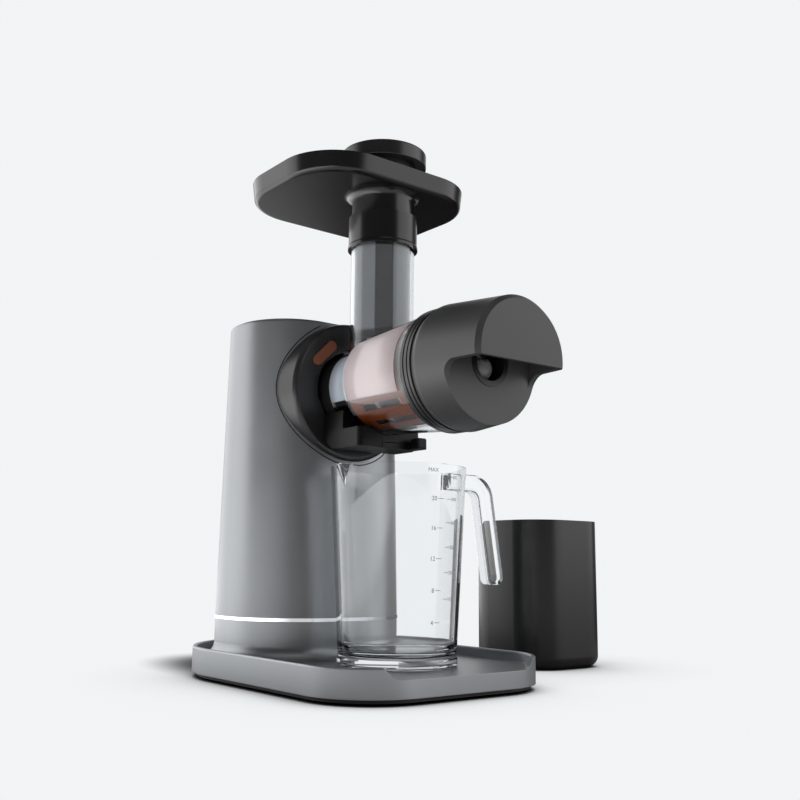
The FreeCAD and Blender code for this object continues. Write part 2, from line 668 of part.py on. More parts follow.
v = VALUES
PLATE_TOP = v["plate_bottom"] + v["plate_thick"]
PLATE_SCREWS = four_places(v["plate_screw_front"], v["plate_screw_back"],
                           v["plate_screw_side"])
FEET = four_places(v["foot_front"], v["foot_back"], v["foot_side"])
POST_IN = (v["tower_low_corner"] - v["tower_wall"] - v["post_radius"] + 0.8) / math.sqrt(2)
POSTS = [(-v["tower_centre"] + sx * (v["tower_low_x"] - v["tower_low_corner"] + POST_IN),
          sy * (v["tower_low_y"] - v["tower_low_corner"] + POST_IN))
         for sx in (-1, 1) for sy in (-1, 1)]
GLAND_X = -v["tower_centre"] - v["tower_low_x"]

keep("base_tray", made("base_tray", base_tray()))


# Underplate: closes the tray from below, holds the feet and lets cooling air in.
def underplate():
    plate = raised(tray_outline(v["tray_wall"] + v["seat_gap"]), v["plate_bottom"], PLATE_TOP)
    tools = []
    for x, y in FEET:
        tools.append(Part.makeCylinder(v["foot_radius"] + v["face_gap"],
                                       v["foot_sink"] + 1, Vector(x, y, v["plate_bottom"] - 1)))
    for x, y in PLATE_SCREWS:
        tools.append(Part.makeCylinder(v["screw_radius"] + v["seat_gap"], PLATE_TOP,
                                       Vector(x, y, 0)))
        tools.append(Part.makeCylinder(v["screw_head_radius"] + v["seat_gap"],
                                       v["screw_head"] + v["seat_gap"] + 1,
                                       Vector(x, y, v["plate_bottom"] - 1)))
    for step in range(-2, 3):
        tools.append(Part.makeBox(v["vent_length"], v["vent_width"], PLATE_TOP,
                                  Vector(-v["tower_centre"] - v["vent_length"] / 2,
                                         step * v["vent_pitch"] - v["vent_width"] / 2, 0)))
    return plate.cut(tools)


keep("base_underplate", made("base_underplate", underplate()))
keep("rubber_feet", group("rubber_feet", *[
    rod("foot_%d" % i, "foot_radius", "plate_bottom + foot_sink - face_gap", "Z",
        sx + "foot_%s" % end, sy + "foot_side")
    for i, (sx, end, sy) in enumerate(
        [("", "front", "-"), ("", "front", ""), ("-", "back", "-"), ("-", "back", "")])]))


def screws(name, places, head_z, shank):
    """Screws from below: a flat head and a plain shank, as separate solids."""
    shapes = []
    for x, y in places:
        head = Part.makeCylinder(v["screw_head_radius"], v["screw_head"], Vector(x, y, head_z))
        stem = Part.makeCylinder(v["screw_radius"], shank, Vector(x, y, head_z))
        shapes.append(head.fuse(stem).removeSplitter())
    return made(name, Part.makeCompound(shapes))


keep("underplate_screws", screws(
    "underplate_screws", PLATE_SCREWS, v["plate_bottom"] + v["face_gap"],
    v["tray_floor"] - v["tray_floor_thick"] - v["plate_bottom"] - 2))
keep("tower_screws", screws(
    "tower_screws", POSTS, v["skirt_top"] - v["post_tall"] / 2 - v["screw_head"],
    v["post_tall"] / 2 + v["screw_head"] + v["ring_tall"] + v["post_tall"] - 4))

# Bright ring between skirt and tower.
RING_LOW = v["skirt_top"] + v["face_gap"]
accent = raised(tower_outline(0, -v["ring_proud"]), RING_LOW, RING_LOW + v["ring_tall"])
accent = accent.cut(raised(tower_outline(0, v["tower_wall"]), RING_LOW - 1, TOWER_FOOT + 1))
keep("accent_ring", made("accent_ring", accent))


# Tower: a hollow cover with a round mouth for the collar and a slot for the switch.
def tower_shell():
    top = TOWER_TOP
    shell = tower_solid(TOWER_FOOT, top)
    edges = [e for e in shell.Edges if e.BoundBox.ZMin > top - 1e-3]
    shell = shell.makeFillet(v["tower_round"], edges)
    inside = Part.makeLoft([tower_outline(TOWER_FOOT, v["tower_wall"]),
                            tower_outline(top - v["tower_wall"], v["tower_wall"])], True, True)
    inside = inside.fuse(raised(tower_outline(0, v["tower_wall"]), TOWER_FOOT - 1,
                                TOWER_FOOT))
    shell = shell.cut(inside)
    posts = [Part.makeCylinder(v["post_radius"], v["post_tall"], Vector(x, y, TOWER_FOOT))
             for x, y in POSTS]
    inner = tower_solid(TOWER_FOOT, top - v["tower_wall"], v["tower_wall"] / 2)
    shell = fused([shell] + [post.common(inner) for post in posts])
    tools = [Part.makeCylinder(v["screw_radius"] + v["run_gap"], v["post_tall"] - 2,
                               Vector(x, y, TOWER_FOOT - 1)) for x, y in POSTS]
    tools.append(Part.makeCylinder(v["collar_spigot"] + v["face_gap"], v["tower_centre"],
                                   Vector(-v["tower_centre"] + v["tower_top_x"] / 2, 0,
                                          v["axis_height"]), Vector(1, 0, 0)))
    tall = v["switch_half_tall"] + v["seat_gap"]
    wide = v["switch_half_wide"] + v["seat_gap"]
    tools.append(Part.makeBox(v["tower_low_x"] / 2, 2 * wide, 2 * tall,
                              Vector(GLAND_X - 1, -wide, v["switch_height"] - tall)))
    return shell.cut(tools)


keep("tower_shell", made("tower_shell", tower_shell()))

# Collar: a cone on the tower's face with the recess that takes the juicing head.
cone = turned("collar_cone", "X", [
    ("-collar_root", "0"), ("-collar_root", "collar_root_radius"),
    ("-collar_face", "collar_face_radius"), ("-collar_face", "0")],
    [(("-collar_face", "collar_face_radius"), "collar_round")], z="axis_height")
envelope = made("tower_envelope", tower_solid(
    v["axis_height"] - 2 * v["collar_face_radius"], v["axis_height"] + 2 * v["collar_face_radius"],
    -v["face_gap"]))
collar_cone = less("collar_on_tower", cone, envelope)
spigot = rod("collar_spigot_rod", "collar_spigot", "collar_back - collar_face - collar_round / 2",
             "X", "-collar_back", "0", "axis_height")
collar_solid = joined("collar_solid", collar_cone, spigot)
recess = rod("collar_recess", "recess_radius", "recess_floor", "X", "-recess_floor", "0",
             "axis_height")
hollow = rod("collar_hollow", "spigot_bore", "collar_back - recess_floor - recess_web + 1", "X",
             "-collar_back - 1", "0", "axis_height")
bore = rod("collar_bore", "seal_bore", "collar_back", "X", "-collar_back", "0", "axis_height")
slot = made("button_slot", oblong(-v["collar_back"] - 1, -v["collar_face"] + 5,
                                  v["button_half_long"] + v["seat_gap"],
                                  v["button_half_wide"] + v["seat_gap"]))
bolt_y, bolt_z = round_axis(v["bolt_place"], v["button_angle"])
bolt_hole = made("bolt_hole", Part.makeCylinder(
    v["bolt_radius"] + v["seat_gap"], v["collar_back"],
    Vector(-v["collar_back"], bolt_y, bolt_z), Vector(1, 0, 0)))
keep("nose_collar", less("nose_collar", collar_solid, recess, hollow, bore, slot, bolt_hole))


# Bayonet ring in the recess: a band with three keepers that hold the head's lugs.
def keepers():
    outer = v["recess_radius"] - v["seat_gap"]
    inner = outer - v["socket_ring"]
    low, high = -v["recess_floor"] + v["face_gap"], -v["collar_face"] - 3
    band = [sector(low, high, inner, outer, 0, 360)]
    for third in range(3):
        start = 90 + 120 * third - v["keeper_angle"] / 2
        band.append(sector(high - v["keeper_thick"], high, inner - v["keeper_reach"],
                           inner + v["socket_ring"] / 2, start, v["keeper_angle"]))
    return fused(band)


keep("bayonet_socket", made("bayonet_socket", keepers()))
keep("socket_seal", ring("socket_seal", "X", "bolt_place + 2 * bolt_radius",
                         "recess_radius - seat_gap * 2 - socket_ring",
                         "-recess_floor + face_gap", "-flange_back - seat_gap",
                         z="axis_height"))
keep("shaft_seal", ring("shaft_seal", "X", "shaft_radius + seat_gap", "seal_bore - face_gap",
                        "-recess_floor - recess_web + face_gap", "-recess_floor - face_gap",
                        z="axis_height"))

# Release button with its latch bolt.
keep("release_button", made("release_button", oblong(
    -v["collar_face"] - v["button_depth"], -v["collar_face"] + v["button_proud"],
    v["button_half_long"], v["button_half_wide"])))


def latch():
    turn = v["button_angle"]
    low, front = -v["bridge_back"], -v["bridge_back"] + v["bridge_thick"]
    reach = v["button_radius"] - v["bolt_place"]
    bridge = Part.makeBox(v["bridge_thick"], reach, 2 * v["button_half_wide"],
                          Vector(low, v["bolt_place"], -v["button_half_wide"]))
    caps = [Part.makeCylinder(v["button_half_wide"], v["bridge_thick"],
                              Vector(low, place_y, 0), Vector(1, 0, 0))
            for place_y in (v["bolt_place"], v["button_radius"])]
    stem = Part.makeCylinder(v["button_half_wide"] - v["face_gap"],
                             v["bridge_back"] - v["collar_face"] - v["button_depth"],
                             Vector(low, v["button_radius"], 0), Vector(1, 0, 0))
    pin = Part.makeCylinder(v["bolt_radius"],
                            v["bridge_back"] - v["flange_back"] + v["flange_plate"] / 3,
                            Vector(low, v["bolt_place"], 0), Vector(1, 0, 0))
    shape = fused([bridge, stem, pin] + caps)
    shape.rotate(Vector(), Vector(1, 0, 0), turn)
    shape.translate(Vector(0, 0, v["axis_height"]))
    return shape


keep("latch_bolt", made("latch_bolt", latch()))
spring_y, spring_z = round_axis(v["button_radius"], v["button_angle"])
keep("latch_spring", made("latch_spring", Part.makeCylinder(
    v["button_half_wide"], 0.6, Vector(-v["case_front"], spring_y, spring_z),
    Vector(1, 0, 0)).cut(Part.makeCylinder(
        v["button_half_wide"] / 2, 2, Vector(-v["case_front"] - 1, spring_y, spring_z),
        Vector(1, 0, 0)))))


# Gears: involute flanks, straight from point to point, with the stated play.
def gear(teeth, module, x_low, width, height, turn):
    """A spur gear on X with one tooth's middle at the given angle."""
    teeth = int(teeth)
    slope = math.radians(v["pressure_angle"])
    pitch = module * teeth / 2
    base = pitch * math.cos(slope)
    tip, root = pitch + 0.95 * module, pitch - 1.2 * module
    half = math.pi / (2 * teeth) - v["backlash"] / (4 * pitch)
    involute = math.tan(slope) - slope
    flank = []
    for step in range(4):
        radius = max(base, root) + (tip - max(base, root)) * step / 3
        angle = math.acos(min(1.0, base / radius))
        flank.append((radius, half + involute - (math.tan(angle) - angle)))
    points = []
    for tooth in range(teeth):
        middle = math.radians(turn) + 2 * math.pi * tooth / teeth
        shape = [(root, -flank[0][1])] if root < base else []
        shape += [(r, -a) for r, a in flank] + [(r, a) for r, a in reversed(flank)]
        shape += [(root, flank[0][1])] if root < base else []
        points += [Vector(x_low, r * math.cos(middle + a), r * math.sin(middle + a))
                   for r, a in shape]
    face = Part.Face(Part.makePolygon(points + points[:1]))
    solid = face.extrude(Vector(width, 0, 0))
    solid.translate(Vector(0, 0, height))
    return solid


def tube_x(inner, outer, low, high, height, y=0.0):
    """A ring on X between two places."""
    body = Part.makeCylinder(outer, high - low, Vector(low, y, height), Vector(1, 0, 0))
    return body.cut(Part.makeCylinder(inner, high - low + 2, Vector(low - 1, y, height),
                                      Vector(1, 0, 0))) if inner > 0 else body


SLOW_CENTRES = v["slow_module"] * (v["output_teeth"] + v["idler_small_teeth"]) / 2
FAST_CENTRES = v["fast_module"] * (v["idler_big_teeth"] + v["pinion_teeth"]) / 2
IDLER_Z = v["axis_height"] - SLOW_CENTRES
MOTOR_Z = IDLER_Z - FAST_CENTRES
SLOW_LOW = -v["slow_gear_front"] - v["slow_gear_wide"]
FAST_LOW = -v["fast_gear_front"] - v["fast_gear_wide"]
CASE_LOW, CASE_HIGH = -v["case_back"], -v["case_front"]
DOWN, UP = -90, 90

output = gear(v["output_teeth"], v["slow_module"], SLOW_LOW, v["slow_gear_wide"],
              v["axis_height"], DOWN)
output = output.cut(tube_x(0, v["shaft_radius"], SLOW_LOW - 1, 0, v["axis_height"]))
keep("output_gear", made("output_gear", output))

big = gear(v["idler_big_teeth"], v["fast_module"], FAST_LOW, v["fast_gear_wide"], IDLER_Z, DOWN)
small = gear(v["idler_small_teeth"], v["slow_module"], FAST_LOW + v["fast_gear_wide"],
             -v["slow_gear_front"] + 0.5 - FAST_LOW - v["fast_gear_wide"], IDLER_Z,
             UP + 180 / v["idler_small_teeth"])
idler = fused([big, small]).cut(tube_x(0, v["idler_pin_radius"] + v["run_gap"],
                                       CASE_LOW - 5, CASE_HIGH + 5, IDLER_Z))
keep("idler_gear", made("idler_gear", idler))
keep("idler_pin", made("idler_pin", tube_x(
    0, v["idler_pin_radius"], CASE_LOW + v["face_gap"], CASE_HIGH - v["face_gap"], IDLER_Z)))


def case_outline(grow, low, high):
    """The gear case's form round its three shafts."""
    height = v["axis_height"] - MOTOR_Z
    return fused([
        tube_x(0, v["case_head_radius"] + grow, low, high, v["axis_height"]),
        tube_x(0, v["case_waist_radius"] + grow, low, high, IDLER_Z),
        tube_x(0, v["case_foot_radius"] + grow, low, high, MOTOR_Z),
        Part.makeBox(high - low, 2 * (v["case_foot_radius"] + grow), height,
                     Vector(low, -v["case_foot_radius"] - grow, MOTOR_Z))])


COVER_LOW = CASE_HIGH - v["case_cover"]
case = case_outline(0, CASE_LOW, COVER_LOW - v["face_gap"])
case = case.cut(case_outline(-v["case_wall"], CASE_LOW + v["case_wall"], COVER_LOW + 1))
boss = tube_x(0, v["bearing_radius"] + v["case_wall"], CASE_LOW - v["bearing_wide"] / 2,
              CASE_LOW + v["case_wall"], v["axis_height"])
case = fused([case, boss])
case = case.cut([
    tube_x(0, v["bearing_radius"] + v["face_gap"], CASE_LOW - v["bearing_wide"], CASE_LOW
           + v["case_wall"] + 1, v["axis_height"]),
    tube_x(0, v["idler_pin_radius"] + v["run_gap"], CASE_LOW - 1, CASE_LOW + 5, IDLER_Z),
    tube_x(0, v["motor_shaft"] * 2, CASE_LOW - 1, CASE_LOW + 5, MOTOR_Z)])
keep("gear_housing", made("gear_housing", case))
cover = case_outline(0, COVER_LOW, CASE_HIGH).cut([
    tube_x(0, v["bearing_radius"] + v["face_gap"], COVER_LOW - 1, CASE_HIGH + 1,
           v["axis_height"]),
    tube_x(0, v["idler_pin_radius"] + v["run_gap"], COVER_LOW - 1, CASE_HIGH + 1, IDLER_Z)])
keep("gear_cover", made("gear_cover", cover))
bearing_low = CASE_LOW - v["bearing_wide"] / 2
bearing_front = COVER_LOW
keep("shaft_bearings", made("shaft_bearings", Part.makeCompound([
    tube_x(v["shaft_radius"] + v["run_gap"], v["bearing_radius"], low,
           low + v["bearing_wide"] - v["face_gap"], v["axis_height"])
    for low in (bearing_low, bearing_front)])))

# Drive shaft with a six-sided tip that enters the auger.
hexagon = [Vector(-v["hex_back"], v["hex_radius"] * math.cos(math.radians(60 * i)),
                  v["axis_height"] + v["hex_radius"] * math.sin(math.radians(60 * i)))
           for i in range(7)]
tip = Part.Face(Part.makePolygon(hexagon)).extrude(
    Vector(v["hex_back"] - v["hex_front"], 0, 0))
shaft = tube_x(0, v["shaft_radius"], bearing_low, -v["hex_back"], v["axis_height"])
keep("drive_shaft", made("drive_shaft", fused([shaft, tip])))


# Auger: a core that widens towards the screen, one flight and a front journal.
def auger():
    root, start = v["auger_root"], v["auger_shoulder"]
    long = v["auger_turns"] * v["auger_pitch"]
    profile = [(-v["auger_back"], 0), (-v["auger_back"], v["auger_hub"]),
               (-start, v["auger_hub"]), (-start + 4, root),
               (v["screen_end"] - 6, root + 3), (v["auger_cone_end"], v["auger_nose"] + 3),
               (v["auger_cone_end"], v["auger_nose"]), (v["auger_front"], v["auger_nose"]),
               (v["auger_front"], 0)]
    corners = [Vector(x, 0, r) for x, r in profile]
    core = Part.Face(Part.makePolygon(corners + corners[:1])).revolve(
        Vector(), Vector(1, 0, 0), 360)
    helix = Part.makeHelix(v["auger_pitch"], long, v["auger_hub"] + 1)
    inner, outer = v["auger_hub"] - 1, v["auger_flight"]
    half = v["auger_tooth"] / 2
    blade = Part.makePolygon([Vector(inner, 0, -half * 1.6), Vector(outer, 0, -half),
                              Vector(outer, 0, half), Vector(inner, 0, half * 1.6),
                              Vector(inner, 0, -half * 1.6)])
    pipe = Part.BRepOffsetAPI.MakePipeShell(Part.Wire(helix.Edges))
    pipe.setFrenetMode(True)
    pipe.add(blade)
    pipe.build()
    pipe.makeSolid()
    flight = pipe.shape()
    flight.rotate(Vector(), Vector(0, 1, 0), 90)
    flight.rotate(Vector(), Vector(1, 0, 0), v["auger_start_turn"])
    flight.translate(Vector(v["auger_flight_start"], 0, 0))
    shape = core.fuse(flight).removeSplitter()
    hexes = [Vector(-v["auger_back"] - 1,
                    (v["hex_radius"] + v["hex_play"]) * math.cos(math.radians(60 * i)),
                    (v["hex_radius"] + v["hex_play"]) * math.sin(math.radians(60 * i)))
             for i in range(7)]
    socket = Part.Face(Part.makePolygon(hexes)).extrude(
        Vector(v["auger_back"] - v["hex_front"] + 2, 0, 0))
    mouth = Part.makeCylinder(v["shaft_radius"] + v["hex_play"],
                              v["auger_back"] - v["hex_back"] + 1 + v["hex_play"],
                              Vector(-v["auger_back"] - 1, 0, 0), Vector(1, 0, 0))
    shape = shape.cut([socket, mouth])
    shape.translate(Vector(0, 0, v["axis_height"]))
    return shape


keep("auger", made("auger", auger()))

# Motor: can, stator and cradle stay still; core, shaft, pinion and fan turn.
CAN_HIGH = CASE_LOW - v["face_gap"]
CAN_LOW = CAN_HIGH - v["motor_long"]
can = tube_x(0, v["motor_radius"], CAN_LOW, CAN_HIGH, MOTOR_Z)
can = can.cut([
    tube_x(0, v["motor_radius"] - v["motor_wall"], CAN_LOW + v["motor_wall"],
           CAN_HIGH - v["motor_wall"], MOTOR_Z),
    tube_x(0, v["motor_shaft"] + v["run_gap"], CAN_LOW - 1, CAN_HIGH + 1, MOTOR_Z),
    tube_x(0, v["bearing_radius"] + v["case_wall"] + v["seat_gap"],
           CASE_LOW - v["bearing_wide"], CAN_HIGH + 1, v["axis_height"])])
keep("motor_can", made("motor_can", can))
keep("motor_stator", made("motor_stator", tube_x(
    v["stator_radius"], v["motor_radius"] - v["motor_wall"] - v["face_gap"],
    CAN_LOW + v["motor_wall"] * 2, CAN_HIGH - v["motor_wall"] * 2, MOTOR_Z)))
keep("rotor_core", made("rotor_core", tube_x(
    v["motor_shaft"], v["rotor_radius"], CAN_LOW + v["motor_wall"] * 3,
    CAN_HIGH - v["motor_wall"] * 3, MOTOR_Z)))
FAN_HIGH = CAN_LOW - 1
spindle = tube_x(0, v["motor_shaft"], FAN_HIGH - v["fan_wide"], -v["slow_gear_front"] - 8,
                 MOTOR_Z)
pinion = gear(v["pinion_teeth"], v["fast_module"], FAST_LOW - 0.5, v["fast_gear_wide"] + 1,
              MOTOR_Z, UP + 180 / v["pinion_teeth"])
keep("motor_shaft", made("motor_shaft", fused([spindle, pinion])))


def fan():
    low = FAN_HIGH - v["fan_wide"]
    plate = tube_x(v["motor_shaft"], v["fan_radius"], low, low + 1.5, MOTOR_Z)
    hub = tube_x(v["motor_shaft"], v["motor_shaft"] * 2, low, FAN_HIGH, MOTOR_Z)
    blades = []
    for step in range(int(v["fan_blades"])):
        blade = Part.makeBox(v["fan_wide"], 1.5, v["fan_radius"] - v["motor_shaft"] * 2.5,
                             Vector(low, -0.75, v["motor_shaft"] * 2.4))
        blade.rotate(Vector(), Vector(1, 0, 0), 360 * step / v["fan_blades"])
        blade.translate(Vector(0, 0, MOTOR_Z))
        blades.append(blade)
    return fused([plate, hub] + blades)


keep("cooling_fan", made("cooling_fan", fan()))
cradle = Part.makeBox(v["cradle_long"], 2 * v["cradle_half_wide"], MOTOR_Z - v["tray_floor"]
                      - v["motor_radius"] / 2,
                      Vector(-v["cradle_front"] - v["cradle_long"], -v["cradle_half_wide"],
                             PLATE_TOP + v["face_gap"]))
cradle = cradle.cut([
    tube_x(0, v["motor_radius"] + v["face_gap"], -v["tray_back"], 0, MOTOR_Z),
    Part.makeBox(v["cradle_long"] + 2, 2 * v["cradle_half_wide"] - 10,
                 MOTOR_Z - v["motor_radius"] - PLATE_TOP - 16,
                 Vector(-v["cradle_front"] - v["cradle_long"] - 1, 5 - v["cradle_half_wide"],
                        PLATE_TOP + 5))])
keep("motor_cradle", made("motor_cradle", cradle))

# Circuit board on two posts beside the cradle.
BOARD_X = "-tower_centre - board_long / 2"
BOARD_Y = "cradle_half_wide + board_gap"
board = block("board_plate", "board_long", "board_wide", "board_thick", BOARD_X, BOARD_Y,
              "board_height")
chips = [
    rod("board_capacitor", "capacitor_radius", "capacitor_tall", "Z",
        BOARD_X + " + capacitor_place", BOARD_Y + " + capacitor_side",
        "board_height + board_thick"),
    block("board_relay", "relay_long", "relay_wide", "relay_tall", BOARD_X + " + relay_place",
          BOARD_Y + " + relay_side", "board_height + board_thick")]
keep("control_board", joined("control_board", board, *chips))
keep("board_posts", group("board_posts", *[
    rod("board_post_%d" % i, "board_post", "board_height - plate_bottom - plate_thick - face_gap", "Z",
        BOARD_X + " + %s" % shift, BOARD_Y + " + board_wide / 2", "plate_bottom + plate_thick")
    for i, shift in enumerate(("board_margin", "board_long - board_margin"))]))

# Power switch on the back: frame and three-way rocker.
SWITCH_X = "-tower_centre - tower_low_x"
frame_outer = block("switch_outer", "12", "2 * switch_half_wide", "2 * switch_half_tall",
                    SWITCH_X, "-switch_half_wide", "switch_height - switch_half_tall")
frame_inner = block("switch_inner", "14", "2 * (switch_half_wide - switch_rim)",
                    "2 * (switch_half_tall - switch_rim)", SWITCH_X + " - 1",
                    "-switch_half_wide + switch_rim",
                    "switch_height - switch_half_tall + switch_rim")
frame_pin = rod("switch_pin_hole", "1.5 + seat_gap", "2 * switch_half_wide - 1", "Y",
                SWITCH_X + " + 5.5", "-switch_half_wide + 0.5", "switch_height")
keep("switch_frame", less("switch_frame", frame_outer, frame_inner, frame_pin))


def rocker():
    x, z = -v["tower_centre"] - v["tower_low_x"] + 5.5, v["switch_height"]
    half = v["switch_half_wide"] - v["switch_rim"] - v["rocker_gap"]
    tall = v["switch_half_tall"] - v["switch_rim"] - 5 * v["rocker_gap"]
    points = [(x - 8.5, -half, z + tall), (x - 6.8, -half, z), (x - 8.5, -half, z - tall),
              (x, -half, z - tall + 3), (x + 3, -half, z), (x, -half, z + tall - 3)]
    wire = loop(points, [1.2, 8, 1.2, 1, 2, 1])
    body = Part.Face(wire).extrude(Vector(0, 2 * half, 0))
    pin = Part.makeCylinder(1.5, 2 * v["switch_half_wide"] - 1.4,
                            Vector(x, -v["switch_half_wide"] + 0.7, z), Vector(0, 1, 0))
    return fused([body, pin])


keep("power_rocker", made("power_rocker", rocker()))
gland = ring("gland_body", "X", "gland_bore", "gland_radius", "0", "14",
             x=SWITCH_X + " - 6", z="gland_height")
gland_flange = ring("gland_flange", "X", "gland_bore", "gland_radius + 2", "0", "3",
                    x=SWITCH_X + " - 3 - face_gap", z="gland_height")
keep("cable_gland", joined("cable_gland", gland, gland_flange))


# Juicing head. The clear drum's outer profile is shared by all that seats on it.
def drum_profile(grow="0"):
    return [("-neck_back", "neck_radius + %s" % grow), ("-neck_front", "neck_radius + %s" % grow),
            ("-neck_front / 4", "(neck_radius + drum_start_radius) / 2 + 0.8 + %s" % grow),
            ("drum_start", "drum_start_radius + %s" % grow),
            ("drum_front", "drum_front_radius + %s" % grow)]


drum_outer = turned("drum_outer", "X", [("-neck_back", "0")] + drum_profile()
                    + [("drum_front", "0")], z="axis_height")
drum_cavity = turned("drum_cavity", "X", [
    ("-neck_back - 1", "0"), ("-neck_back - 1", "neck_radius - drum_wall"),
    ("-neck_front + drum_wall / 2", "neck_radius - drum_wall"),
    ("drum_start + drum_wall / 2", "drum_start_radius - drum_wall"),
    ("drum_front", "drum_front_radius - drum_wall"),
    ("drum_front + 1", "drum_front_radius - drum_wall"), ("drum_front + 1", "0")],
    z="axis_height")
throat = rod("drum_throat", "throat_radius", "2 * drum_front_radius", "Z", "0", "0",
             "axis_height")
juice_hole = rod("drum_outlet", "outlet_radius + 1", "drum_front_radius + 2", "Z", "outlet_x",
                 "0", "axis_height - drum_front_radius - 2")
keep("drum_shell", less("drum_shell", drum_outer, drum_cavity, throat, juice_hole))

drum_seat = turned("drum_seat", "X", [("-neck_back - 20", "0"),
                                      ("-neck_back - 20", "neck_radius + face_gap")]
                   + drum_profile("face_gap")[1:] + [("drum_front", "0")], z="axis_height")
tube_rod = rod("tube_rod", "tube_radius", "tube_tall", "Z", "0", "0",
               "axis_height")
tube_bore = rod("tube_bore", "throat_radius", "tube_tall + 2", "Z", "0", "0",
                "axis_height - 1")
keep("feed_tube", less("feed_tube", tube_rod, tube_bore, drum_seat))


def bayonet_flange():
    back, plate = v["flange_back"], v["flange_plate"]
    radius = v["neck_radius"] - v["face_gap"] * 2
    liner = v["liner_radius"]
    profile = [(-back, v["flange_bore"]), (-back, radius), (-v["neck_back"] - v["face_gap"], radius),
               (-v["neck_back"] - v["face_gap"], liner), (-v["liner_front"], liner),
               (-v["liner_front"], liner - v["liner_wall"]),
               (-back + plate, liner - v["liner_wall"]), (-back + plate, v["flange_bore"])]
    corners = [Vector(x, 0, r) for x, r in profile]
    body = Part.Face(Part.makePolygon(corners + corners[:1])).revolve(
        Vector(), Vector(1, 0, 0), 360)
    body.translate(Vector(0, 0, v["axis_height"]))
    lugs = [sector(-back, -back + plate - v["face_gap"] * 2, radius - 1,
                   radius + v["lug_reach"], 90 + 120 * i - v["lug_angle"] / 2, v["lug_angle"])
            for i in range(3)]
    body = fused([body] + lugs)
    room = v["bolt_radius"] + v["seat_gap"]
    side = math.degrees(room / v["bolt_place"])
    track = sector(-back - 1, -back + plate / 2, v["bolt_place"] - room, v["bolt_place"] + room,
                   v["button_angle"] - v["twist_open"] - side - 1,
                   v["twist_open"] + 2 * side + 2)
    mouth = Part.makeCylinder(v["throat_radius"], v["drum_front_radius"] * 2,
                              Vector(0, 0, v["axis_height"]))
    return body.cut([track, mouth])


keep("bayonet_flange", made("bayonet_flange", bayonet_flange()))
keep("drum_seal", ring("drum_seal", "X", "auger_hub + seat_gap", "flange_bore - face_gap",
                       "-flange_back + face_gap", "-flange_back + flange_plate - face_gap",
                       z="axis_height"))
groove = "ring_radius - ring_groove"
span = "(ring_front - drum_front)"
keep("front_ring", turned("front_ring", "X", [
    ("drum_front + face_gap", "ring_bore"), ("drum_front + face_gap", "ring_radius"),
    ("drum_front + %s * 0.28" % span, "ring_radius"), ("drum_front + %s * 0.28" % span, groove),
    ("drum_front + %s * 0.40" % span, groove), ("drum_front + %s * 0.40" % span, "ring_radius"),
    ("drum_front + %s * 0.66" % span, "ring_radius"), ("drum_front + %s * 0.66" % span, groove),
    ("drum_front + %s * 0.78" % span, groove), ("drum_front + %s * 0.78" % span, "ring_radius"),
    ("ring_front", "ring_radius"), ("ring_front", "ring_bore")], z="axis_height"))


# Screen: a thin coppery sleeve with long slots, open under the feed tube.
def screen():
    outer, inner = v["screen_radius"], v["screen_radius"] - v["screen_wall"]
    body = tube_x(inner, outer, v["screen_start"], v["screen_end"], v["axis_height"])
    middle = (v["screen_start"] + v["screen_end"]) / 2
    tools = [Part.makeCylinder(v["throat_radius"], 2 * outer, Vector(0, 0, v["axis_height"]))]
    for step in range(int(v["screen_slots"])):
        angle = 360 * (step + 0.5) / v["screen_slots"]
        if 30 < angle < 150:
            continue
        slot = Part.makeBox(v["screen_slot_long"], 6, v["screen_slot_wide"],
                            Vector(middle - v["screen_slot_long"] / 2, inner - 3,
                                   -v["screen_slot_wide"] / 2))
        slot.rotate(Vector(), Vector(1, 0, 0), angle)
        slot.translate(Vector(0, 0, v["axis_height"]))
        tools.append(slot)
    return body.cut(tools)


keep("screen_basket", made("screen_basket", screen()))
keep("screen_frame", ring("screen_frame", "X", "screen_radius - 1.4",
                          "drum_front_radius - drum_wall - 2 * seat_gap",
                          "screen_end + face_gap", "drum_front - face_gap", z="axis_height"))


# Spout: a block under the drum, cut to the drum's form, with a pocket for the drip stop.
DRIP_Z = number(SPOUT_LOW)


def wedge(radius, low, high, start, sweep):
    """Part of a disc round the drip stop's pivot; angles run from +X towards +Y."""
    shape = Part.makeCylinder(radius, high - low, Vector(), Vector(0, 0, 1), sweep)
    shape.rotate(Vector(), Vector(0, 0, 1), start)
    shape.translate(Vector(v["drip_x"], v["drip_y"], low))
    return shape


